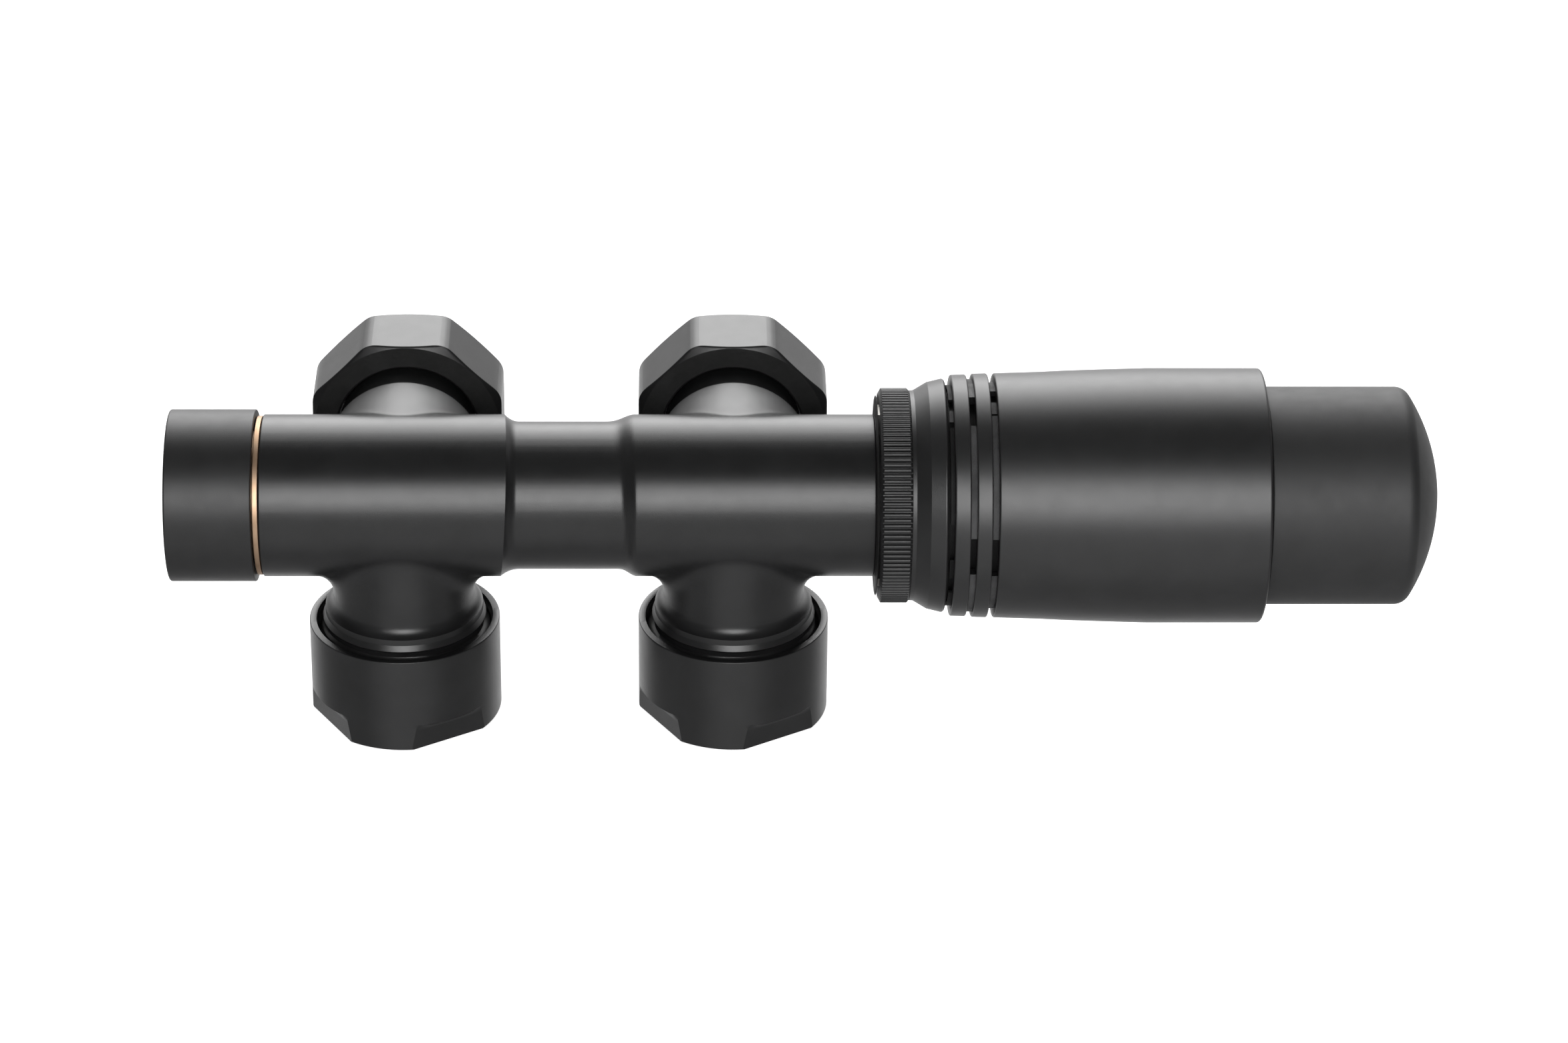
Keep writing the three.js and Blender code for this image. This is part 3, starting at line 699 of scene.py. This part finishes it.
def make_ring_nut():
    """Straight knurl: round-topped teeth with narrow valleys, cut to points by a chamfer at both ends."""
    shell = Shell()
    depth, half, bend = 0.36, 0.30, 0.36
    pitch = tau * RING_R / TEETH
    crest = half * np.sin(np.linspace(-1, 1, 9) * pi / 2)
    across = np.concatenate([crest, [half + 0.06, pitch - half - 0.06]])
    tooth_drop = np.concatenate([bend - np.sqrt(bend ** 2 - crest ** 2), [depth, depth]])
    angles = np.concatenate([(i * pitch + across) / RING_R for i in range(TEETH)])
    drop = np.tile(tooth_drop, TEETH)[:, None]
    rim, pocket_r = 15.4, 15.2
    face, left, right = RING_LEFT + 0.08, RING_LEFT + 0.5, RING_RIGHT - 0.3
    rows = np.concatenate([np.linspace(face, left, 9), np.linspace(left, right, 5)[1:],
                           np.linspace(right, RING_RIGHT, 7)[1:]])

    def radius(a, h):
        cone_left = rim + (RING_R - rim) * (h - face) / (left - face)
        cone_right = RING_R - depth * (h - right) / (RING_RIGHT - right)
        return np.minimum(np.minimum(RING_R - drop, cone_left), cone_right)

    shell.field(along_body, radius, rows, angles)
    shell.turned(along_body, [
        (RING_R - depth, RING_RIGHT, 0), (13.1, RING_RIGHT, 0.1), (13.1, 50.4, 0.1), (pocket_r, 50.4, 0.1),
        (pocket_r, RING_LEFT + 1.1, 0.05), (14.35, RING_LEFT + 0.75, 0.05), (14.35, RING_LEFT + 0.7, 0.05),
        (pocket_r, face, 0.05), (rim, face, 0)], angles)
    finish_piece(shell.piece("ring_nut_knurled", knurled, sharp=20), "ring_nut", "coated_metal", "ring_nut")


make_thermostatic_insert()
make_ring_nut()


# ---------- head ----------
BASE_END = along("head_base")[1]
COLLAR_RIGHT = 56.5
HANDLE_LEFT, HANDLE_RIGHT = along("handle")
HANDLE_R = radius_of("handle")
TIP = along("end_cap")[1]
SLEEVE_R = 16.2


def make_head_base():
    """A flange held by the ring nut, the conical collar, and the sleeve that the handle turns on."""
    shell = Shell()
    sleeve_r, sleeve_bore_r, bore_r = 15.6, 14, 12.3
    shell.turned(along_body, [
        (bore_r, 49.2, 0.1), (13.9, 49.2, 0.2), (13.9, 50.1, 0.1), (12.8, 50.1, 0.2),
        (12.8, RING_RIGHT + 0.03, 0.1), (15.8, RING_RIGHT + 0.03, 0.04), (15.83, 51.85, 0.15),
        (17.05, 53.9, 0.3), (17.6, 56.2, 0.5), (17.3, COLLAR_RIGHT, 0.25), (sleeve_r, COLLAR_RIGHT, 0.1),
        (sleeve_r, BASE_END, 0.2), (sleeve_bore_r, BASE_END, 0.2), (sleeve_bore_r, 57.2, 0.3),
        (5.5, 57.2, 0.2), (5.5, 55.3, 0.1), (bore_r, 55.3, 0.1)], FINE, closed=True, steps=6)

    def pick(centre, normal):
        """The sleeve is darker than the collar: painted shade."""
        return int(centre.x > COLLAR_RIGHT + 0.05)

    finish_piece(shell.piece("head_base_moulded", [plastic, painted_shade_recess], pick=pick), "head_base", "head_plastic",
                 "head_base")


def brick(shell, r0, r1, h0, h1, a0, a1):
    """A curved block between two radii, two distances and two angles in degrees."""
    steps = max(2, int(abs(a1 - a0) / 2))
    angles = np.radians(np.linspace(a0, a1, steps + 1))
    section = [(r0, h0), (r1, h0), (r1, h1), (r0, h1)]
    count = len(angles)
    edges = [along_body(np.full(count, r), np.full(count, h), angles) for r, h in section]
    faces = [[i * 4 + k, (i + 1) * 4 + k, (i + 1) * 4 + (k + 1) % 4, i * 4 + (k + 1) % 4]
             for i in range(count - 1) for k in range(4)]
    faces += [[0, 1, 2, 3], [(count - 1) * 4 + k for k in (3, 2, 1, 0)]]
    shell.add(np.stack(edges, 1), faces)


OVERLAP = 0.15


def webs(shell, r1, h0, h1, windows):
    """The floor of a groove: curved blocks between its windows, given as (from, to) in degrees."""
    edges = sorted(windows)
    for (_, start), (end, _) in zip(edges, edges[1:] + [(edges[0][0] + 360, 0)]):
        brick(shell, SLEEVE_R, r1, h0 - OVERLAP, h1 + OVERLAP, start, end)


def pairs(middle, half, width):
    """Two mirrored pairs of windows about a plane through the axis."""
    centres = [middle + turn + offset for turn in (0, 180) for offset in (-half, half)]
    return [(c - width / 2, c + width / 2) for c in centres]


FLOOR_LEFT = 56.95
RIDGES = [(HANDLE_LEFT, 59.75, 18.2), (60.65, 62.95, 18.37)]
BARREL_LEFT = 63.9
FIRST_WINDOWS = [(65.5, 87.5), (-6.6, 13.4), (-32.2, -19.2), (179, 201), (251, 269)]
SECOND_WINDOWS = pairs(35.8, 39, 20.5)
THIRD_WINDOWS = pairs(39.2, 44.3, 22)
INNER_R = 16.4


def make_handle():
    """Two ridges and a barrel on a thin sleeve, whose grooves have windows in their floor."""
    shell = Shell()
    for start, end, r in RIDGES:
        shell.turned(along_body, [
            (SLEEVE_R, start, 0.1), (r - 0.06, start, 0.22), (r, end, 0.22), (SLEEVE_R, end, 0.1)],
            FINE, closed=True)
    stop_r, stop_left, stop_right = 12.5, 75, 76.5
    shell.turned(along_body, [
        (SLEEVE_R, BARREL_LEFT, 0.1), (18.38, BARREL_LEFT, 0.25), (18.6, 70.9, 3), (18.8, 75, 3),
        (19.0, 81, 4), (HANDLE_R, 87, 6), (HANDLE_R, HANDLE_RIGHT, 0.45), (SLEEVE_R, HANDLE_RIGHT, 0.2),
        (SLEEVE_R, stop_right, 0.2), (stop_r, stop_right, 0.2), (stop_r, stop_left, 0.2),
        (SLEEVE_R, stop_left, 0.2)], FINE, closed=True, steps=6)
    webs(shell, 16.6, FLOOR_LEFT, HANDLE_LEFT, FIRST_WINDOWS)
    webs(shell, 17.5, RIDGES[0][1], RIDGES[1][0], SECOND_WINDOWS)
    webs(shell, 17.0, RIDGES[1][1], BARREL_LEFT, THIRD_WINDOWS)
    # Two inner ribs show through the first and the third groove.
    brick(shell, SLEEVE_R, INNER_R, FLOOR_LEFT - OVERLAP, HANDLE_LEFT + 0.1, 70, 78.5)
    brick(shell, SLEEVE_R, INNER_R, RIDGES[1][1] - OVERLAP, BARREL_LEFT + OVERLAP, 76, 86)

    def pick(centre, normal):
        """Groove floors are rough and lighter, partly painted light, and the first one and the walls of the
        windows are dark as painted shade.
        """
        r = hypot(centre.y, centre.z - AXIS_Z)
        if abs(normal.x) > 0.5 or r > 17.7 or centre.x > BARREL_LEFT + 0.1:
            return 0
        faces_out = (centre.y * normal.y + (centre.z - AXIS_Z) * normal.z) / r > 0.8
        is_floor = faces_out and r > SLEEVE_R + 0.1
        return 1 if is_floor and (centre.x > HANDLE_LEFT + 0.1 or r < INNER_R + 0.05) else 2

    finish_piece(shell.piece("handle_moulded", [plastic, rough_plastic_painted_light, painted_shade_recess], pick=pick), "handle",
                 "head_plastic", "handle")


def make_end_cap():
    """A plain cylinder that turns into a shallow dome through a small rounded edge."""
    r, dome, edge, wall = 16.4, 28.6, 2.2, 1.6
    skirt_r, skirt_left = 15.9, 98
    centre = TIP - dome
    edge_r = r - edge
    edge_x = centre + sqrt((dome - edge) ** 2 - edge_r ** 2)
    tilt = atan2(edge_r, edge_x - centre)
    outer = [(edge_r + edge * sin(t), edge_x + edge * cos(t)) for t in np.linspace(pi / 2, tilt, 9)]
    outer += [(dome * sin(t), centre + dome * cos(t)) for t in np.linspace(tilt, 0, 22)[1:]]
    start = HANDLE_RIGHT + 0.3
    side = rounded([(skirt_r - wall, skirt_left, 0.1), (skirt_r, skirt_left, 0.3), (skirt_r, start, 0.1),
                    (r, start, 0.3), (r, edge_x, 0)], closed=False)
    inside = [((dome - wall) * sin(t), centre + (dome - wall) * cos(t))
              for t in np.linspace(0, asin((skirt_r - wall) / (dome - wall)), 12)]
    profile = np.concatenate([np.array(inside), side, np.array(outer[1:])])
    shell = Shell()
    shell.lathe(along_body, profile, FINE)
    finish_piece(shell.piece("end_cap_moulded", plastic_matt), "handle", "head_plastic", "end_cap")


make_head_base()
make_handle()
make_end_cap()


# ---------- unions ----------
NUT_END = AXIS_Z  # the pipe nuts stand on the floor
PIPE_NUT_R = 14.43
FLATS_HEIGHT, FLATS_RUNOUT = 4.4, 1.2
FLATS_TOP, FLATS_BOTTOM = 13.35, 12.98
FLATS_TURN = 31.3
END_ROUNDING = 0.4


def make_pipe_nut(side, x):
    """A round nut with four slightly tapered flats milled into its lower end, each under a soft ledge."""
    shell = Shell()
    top, end = AXIS_Z - along(f"pipe_nut_{side}", 2)[1], NUT_END
    ledge = end - FLATS_HEIGHT
    rows = np.concatenate([[top + 0.3], np.linspace(top + 1, ledge - 0.05, 8),
                           ledge + FLATS_RUNOUT * np.linspace(0, 1, 11), [end - 2.4, end - 1.6, end - 0.9],
                           end - END_ROUNDING * np.cos(np.linspace(0, pi / 2, 10))])[None, :]
    fall = np.clip((rows - end) / END_ROUNDING + 1, 0, 1)
    rim_drop, chamfer = 0.3, 0.12
    round_r = PIPE_NUT_R - rim_drop * (1 - np.sqrt(1 - fall ** 2))
    flat_r = FLATS_TOP + (FLATS_BOTTOM - FLATS_TOP) * np.clip((rows - ledge) / FLATS_HEIGHT, 0, 1)
    half = np.arccos(flat_r / round_r)
    on_flat = np.linspace(-1, 1, 17)[:, None] * half
    between = half + np.linspace(0, 1, 22)[1:-1, None] * (pi / 2 - 2 * half)
    quarter = np.concatenate([on_flat, between])
    angles = np.concatenate([quarter + k * pi / 2 for k in range(4)]) + radians(FLATS_TURN)
    turned = np.tile(round_r, (len(between), 1))
    t = np.clip((rows - ledge) / FLATS_RUNOUT, 0, 1)
    milled = round_r - (round_r - flat_r / np.cos(on_flat)) * (1 - (1 - t) ** 2)
    radii = np.tile(np.concatenate([milled, turned]), (4, 1))
    radii -= chamfer * np.clip((rows - end) / chamfer + 1, 0, 1) ** 2
    place = down_pipe(x)
    shell.grid(place(radii, rows + 0 * radii, angles), False)

    mouth_r, bore_r, root = 8.6, 8.3, 13.45
    cone_end, thread_end = 31.2, 30.4
    bore = np.full((len(angles), 1), mouth_r)
    face = [place(radii[:, -1:], end + 0 * bore, angles[:, -1:]), place(bore, end + 0 * bore, angles[:, -1:])]
    shell.grid(np.concatenate(face, 1), False)
    shell.turned(place, [
        (mouth_r, end, 0), (bore_r, end - 0.3, 0.1), (bore_r, 34.6, 0.15), (11.6, cone_end, 0.2),
        (13.5, cone_end, 0.1), (13.5, thread_end, 0)], angles[:, -1])
    grooves = np.arange(top + 0.6, thread_end + 0.001, PIPE_PITCH / 10)
    grooves[-1] = thread_end
    round_angles = angles[:, 0]

    def female(a, h):
        fade = smoothstep(top + 0.6, top + 1.2, h) * (1 - smoothstep(29.6, thread_end, h))
        return root - 0.35 * fade * thread_wave(h / PIPE_PITCH + a / tau + 0.5)

    shell.field(place, female, grooves, round_angles)
    shell.turned(place, [
        (root, grooves[0], 0), (root - 0.1, top, 0.06), (PIPE_NUT_R, top, 0.2),
        (PIPE_NUT_R, top + 0.3, 0)], round_angles)

    def pick(centre, normal):
        """Everything that faces the nut's own axis, but for its lowest edge, gets the duller coat as painted
        shade inside the nut.
        """
        faces_axis = (centre.x - x) * normal.x + centre.y * normal.y < 0
        return int(faces_axis and centre.z > 1)

    finish_piece(shell.piece(f"pipe_nut_{side}_turned", [coat, dull_coat_and_shade], sharp=19, pick=pick),
                 f"pipe_nut_{side}", "coated_metal", f"pipe_nut_{side}")


OCTAGON_ACROSS, OCTAGON_CORNER = 29.0, 15.4
CHAMFER_FRONT_R, CHAMFER_BACK_R = 14.3, 14.4
CORNER_SOFTNESS = 0.26


def make_radiator_nut(side, x):
    """An octagon whose corners are turned down and chamfered at both ends, threaded inside."""
    shell = Shell()
    start, end = along(f"radiator_nut_{side}", 1)
    place = out_radiator(x)
    corner = degrees(acos(OCTAGON_ACROSS / 2 / OCTAGON_CORNER))
    marks = [45 * k + sign * corner for k in range(8) for sign in (-1, 1)]
    around = np.concatenate([np.arange(0, 360, 1.8), np.array(marks) % 360])
    angles = np.radians(np.unique(np.round(around, 4)))
    lead, trail = 0.68, 0.6
    rows = np.concatenate([start + lead * np.linspace(0, 1, 13),
                           np.linspace(start + lead, end - trail, 6)[1:],
                           end - trail + trail * np.linspace(0, 1, 11)[1:]])

    def radius(a, h):
        off = (np.degrees(a) + 22.5) % 45 - 22.5
        flat = OCTAGON_ACROSS / 2 / np.cos(np.radians(off))
        near = CHAMFER_FRONT_R + (OCTAGON_CORNER - CHAMFER_FRONT_R) * np.clip((h - start) / lead, 0, 1)
        far = CHAMFER_BACK_R + (OCTAGON_CORNER - CHAMFER_BACK_R) * np.clip((end - h) / trail, 0, 1)
        sharp = np.minimum(np.minimum(near, far), OCTAGON_CORNER)
        mix = np.clip(0.5 + 0.5 * (sharp - flat) / CORNER_SOFTNESS, 0, 1)
        return sharp + (flat - sharp) * mix - CORNER_SOFTNESS * mix * (1 - mix)

    shell.field(place, radius, rows, angles)
    a = angles[:, None]
    bore_r, root, mouth_r = 10.8, 12.55, 12.75
    for at, inner_r in ((start, bore_r + 0.35), (end, mouth_r)):
        r = radius(a, np.full_like(a, at))
        face = [place(r, at + 0 * a, a), place(np.full_like(a, inner_r), at + 0 * a, a)]
        shell.grid(np.concatenate(face, 1), False)
    shelf, thread_start, thread_end = start + 2, start + 3.6, end - LEAD_IN
    shell.turned(place, [
        (bore_r + 0.35, start, 0), (bore_r, start + 0.35, 0.1), (bore_r, shelf, 0.1), (root, shelf, 0.1),
        (root, thread_start, 0)], angles)
    grooves = np.arange(thread_start, thread_end, PIPE_PITCH / 10)
    grooves[-1] = thread_end

    def female(a, h):
        fade = smoothstep(thread_start, start + 4.2, h) * (1 - smoothstep(end - 0.9, thread_end, h))
        return root - 0.6 * fade * thread_wave(h / PIPE_PITCH + a / tau)

    shell.field(place, female, grooves, angles)
    shell.lathe(place, np.array([(root, thread_end), (mouth_r, end)]), angles)

    def pick(centre, normal):
        """The face towards the body and the whole inside get the duller coat as painted shade."""
        r = hypot(centre.x - x, centre.z - AXIS_Z)
        return int(normal.y < -0.9 or r < 13)

    finish_piece(shell.piece(f"radiator_nut_{side}_milled", [coat, dull_coat_and_shade], sharp=24, pick=pick),
                 f"radiator_nut_{side}", "coated_metal", f"radiator_nut_{side}")


INNER_RING_R = 7.7


def make_ring(node, making, body, slot, material, place, corners):
    shell = Shell()
    shell.turned(place, corners, 96, closed=True)
    finish_piece(shell.piece(f"{node}_{making}", material), body, slot, node)


def make_clamp_ring(side, x):
    """A tapered ring with a slot through it, so that the nut can close it on the pipe."""
    shell = Shell()
    half_slot, middle_r = 0.5, 9.3
    gap = degrees(half_slot / middle_r)
    angles = np.radians(np.linspace(180 + gap, 540 - gap, 120))
    section = rounded([(INNER_RING_R, 30.8, 0.15), (11, 30.8, 0.1), (11, 31.3, 0.1), (8.6, 34, 0.2),
                       (INNER_RING_R, 34, 0.15)])
    a = angles[:, None]
    points = down_pipe(x)(section[:, 0][None, :] + 0 * a, section[:, 1][None, :] + 0 * a, a)
    columns, rows = points.shape[:2]
    faces = [[i * rows + k, (i + 1) * rows + k, (i + 1) * rows + (k + 1) % rows, i * rows + (k + 1) % rows]
             for i in range(columns - 1) for k in range(rows)]
    faces += [list(range(rows)), [(columns - 1) * rows + k for k in reversed(range(rows))]]
    shell.add(points, faces)
    finish_piece(shell.piece(f"clamp_ring_{side}_turned", brass_upright), f"pipe_insert_{side}", "bare_brass",
                 f"clamp_ring_{side}")


CONE_INSERT = [(INNER_RING_R, 24.3), (8.7, 24.3, 0.2), (9.4, 27), (8.4, 27), (8.4, 28.6), (9.9, 28.6),
               (10.3, 30.4, 0.2), (INNER_RING_R, 30.4, 0.2)]
GASKET_R = 11.6

for side, x in (("left", -PORT_X), ("right", PORT_X)):
    make_pipe_nut(side, x)
    make_radiator_nut(side, x)
    make_clamp_ring(side, x)
    make_ring(f"cone_insert_{side}", "turned", f"pipe_insert_{side}", "bare_brass", brass_upright,
              down_pipe(x), CONE_INSERT)
    near, far = along(f"radiator_gasket_{side}", 1)
    make_ring(f"radiator_gasket_{side}", "cut", "body", "fibre_gasket", fibre, out_radiator(x), [
        (RADIATOR_BORE_R, near, 0.1), (GASKET_R, near, 0.2), (GASKET_R, far, 0.2),
        (RADIATOR_BORE_R, far, 0.1)])


# ---------- pieces kept from the CAD ----------
KEPT = {
    brass: ["lockshield_spindle", "lockshield_plug", "stem_gland"],
    steel: ["valve_stem", "stem_pin", "return_spring", "handle_snap_ring", "sensor_piston",
            "overtravel_spring", "nut_snap_ring_left", "nut_snap_ring_right"],
    aluminium: ["sensor"],
    plastic: ["sensor_carrier", "pressure_cup"],
    rubber: ["insert_oring_left", "insert_oring_right", "spindle_oring", "plug_seal", "cap_gasket",
             "seat_disc", "stem_oring", "cone_oring_left", "cone_oring_right"],
}
for material, names in KEPT.items():
    for name in names:
        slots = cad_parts[name].data.materials
        slots.clear()
        slots.append(material)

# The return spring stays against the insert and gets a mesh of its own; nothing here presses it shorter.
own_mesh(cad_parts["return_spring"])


# ---------- floor, light and camera ----------
def make_floor():
    """A pale floor far wider than the view. Reflections pass through it to the studio's own light."""
    mesh = bpy.data.meshes.new("studio_floor")
    reach = 12.0  # metres
    mesh.from_pydata([(-reach, -reach, 0), (reach, -reach, 0), (reach, reach, 0), (-reach, reach, 0)], [],
                     [(0, 1, 2, 3)])
    floor = bpy.data.objects.new("studio_floor", mesh)
    bpy.context.scene.collection.objects.link(floor)
    material, tree, surface = shader("pale_floor", Roughness=0.9, Specular_IOR_Level=0.1)
    tree.links.new(ramp(tree, noise(tree, 8, 3), 0.86, 0.9), surface.inputs["Base Color"])
    surface.inputs["Emission Color"].default_value = (1, 1, 1, 1)
    surface.inputs["Emission Strength"].default_value = 0.72
    mesh.materials.append(material)
    floor.visible_glossy = False
    floor.visible_shadow = False


class Studio:
    """The world's light as a sum of soft-edged patches of sky."""

    def __init__(self):
        world = bpy.data.worlds.new("studio")
        bpy.context.scene.world = world
        world.use_nodes = True
        self.tree = world.node_tree
        coordinates = self.tree.nodes.new("ShaderNodeTexCoord")
        self.direction = coordinates.outputs["Generated"]
        self.total = None

    def math(self, operation, a, b=None):
        node = self.tree.nodes.new("ShaderNodeMath")
        node.operation = operation
        for socket, value in zip(node.inputs, (a, b)):
            if isinstance(value, (int, float)):
                socket.default_value = value
            elif value is not None:
                self.tree.links.new(value, socket)
        return node.outputs[0]

    def towards(self, direction):
        node = self.tree.nodes.new("ShaderNodeVectorMath")
        node.operation = "DOT_PRODUCT"
        self.tree.links.new(self.direction, node.inputs[0])
        node.inputs[1].default_value = direction
        return node.outputs["Value"]

    def step(self, value, low, high, strength):
        node = self.tree.nodes.new("ShaderNodeMapRange")
        node.interpolation_type = "SMOOTHSTEP"
        self.tree.links.new(value, node.inputs["Value"])
        node.inputs["From Min"].default_value = low
        node.inputs["From Max"].default_value = high
        node.inputs["To Max"].default_value = strength
        return node.outputs["Result"]

    def add(self, amount):
        self.total = amount if self.total is None else self.math("ADD", self.total, amount)

    def disc(self, azimuth, elevation, inner, outer, strength):
        """A round softbox. Azimuth 0 is the front and 90 the right, angles in degrees."""
        a, e = radians(azimuth), radians(elevation)
        direction = (sin(a) * cos(e), -cos(a) * cos(e), sin(e))
        low, high = cos(radians(outer)), cos(radians(inner))
        self.add(self.step(self.towards(direction), low, high, strength))

    def finish(self, seen):
        """The camera sees plain white behind the object, and everything else sees the patches."""
        path = self.tree.nodes.new("ShaderNodeLightPath")
        mix = self.tree.nodes.new("ShaderNodeMix")
        mix.data_type = "FLOAT"
        self.tree.links.new(path.outputs["Is Camera Ray"], mix.inputs["Factor"])
        self.tree.links.new(self.total, mix.inputs["A"])
        mix.inputs["B"].default_value = seen
        background = self.tree.nodes["Background"].inputs
        self.tree.links.new(mix.outputs["Result"], background["Strength"])
        background["Color"].default_value = (1, 1, 1, 1)


def make_light():
    """A bright sky behind, two softboxes in front, and a little light from below and from everywhere."""
    studio = Studio()
    height = studio.towards((0, 0, 1))
    below = studio.step(height, 0.1, -0.2, 0.2)
    everywhere = studio.step(height, -1.1, -1.0, 0.1)
    behind = studio.step(studio.towards((0, 1, 0)), 0.25, 0.85, 1.0)
    raised = studio.step(height, -0.05, 0.4, 4.6)
    sideways = studio.math("ABSOLUTE", studio.towards((1, 0, 0)))
    narrow = studio.step(sideways, 0.55, 0.1, 1.0)
    sky = studio.math("ADD", studio.math("MULTIPLY", raised, narrow), 0.66)
    for patch in (below, everywhere, studio.math("MULTIPLY", behind, sky)):
        studio.add(patch)
    studio.disc(azimuth=1, elevation=25, inner=10, outer=22, strength=7.6)
    studio.disc(azimuth=0, elevation=-20, inner=10, outer=45, strength=0.53)
    studio.finish(1.0)


LENS, SENSOR = 113.07, 36.0
CAMERA_DISTANCE = 0.741
CAMERA_TURN = -1.4
AIM_LEFT_OF_MIDDLE, AIM_BELOW_AXIS = 3.08 * MM, 3.95 * MM


def make_camera():
    """Looks down at the body from the front, a little from the left, with the body level in the picture."""
    tilt, turn = radians(VIEW_TILT), radians(CAMERA_TURN)
    back = Vector((sin(turn) * cos(tilt), -cos(turn) * cos(tilt), sin(tilt)))
    up = Vector((0, sin(tilt), cos(tilt)))
    middle = (CAD_BOX[0][0] + CAD_BOX[1][0]) / 2
    aim = Vector((middle - AIM_LEFT_OF_MIDDLE, 0, AXIS_Z * MM)) - up * AIM_BELOW_AXIS
    data = bpy.data.cameras.new("camera")
    data.lens, data.sensor_width = LENS, SENSOR
    data.clip_start, data.clip_end = 0.05, 100
    camera = bpy.data.objects.new("camera", data)
    upright = Vector((1, 0, 0)).cross(-back).normalized()
    axes = Matrix((upright.cross(back), upright, back)).transposed().to_4x4()
    camera.matrix_world = Matrix.Translation(aim + back * CAMERA_DISTANCE) @ axes
    bpy.context.scene.collection.objects.link(camera)
    bpy.context.scene.camera = camera


make_floor()
make_light()
make_camera()
bpy.context.scene.view_settings.view_transform = "Standard"
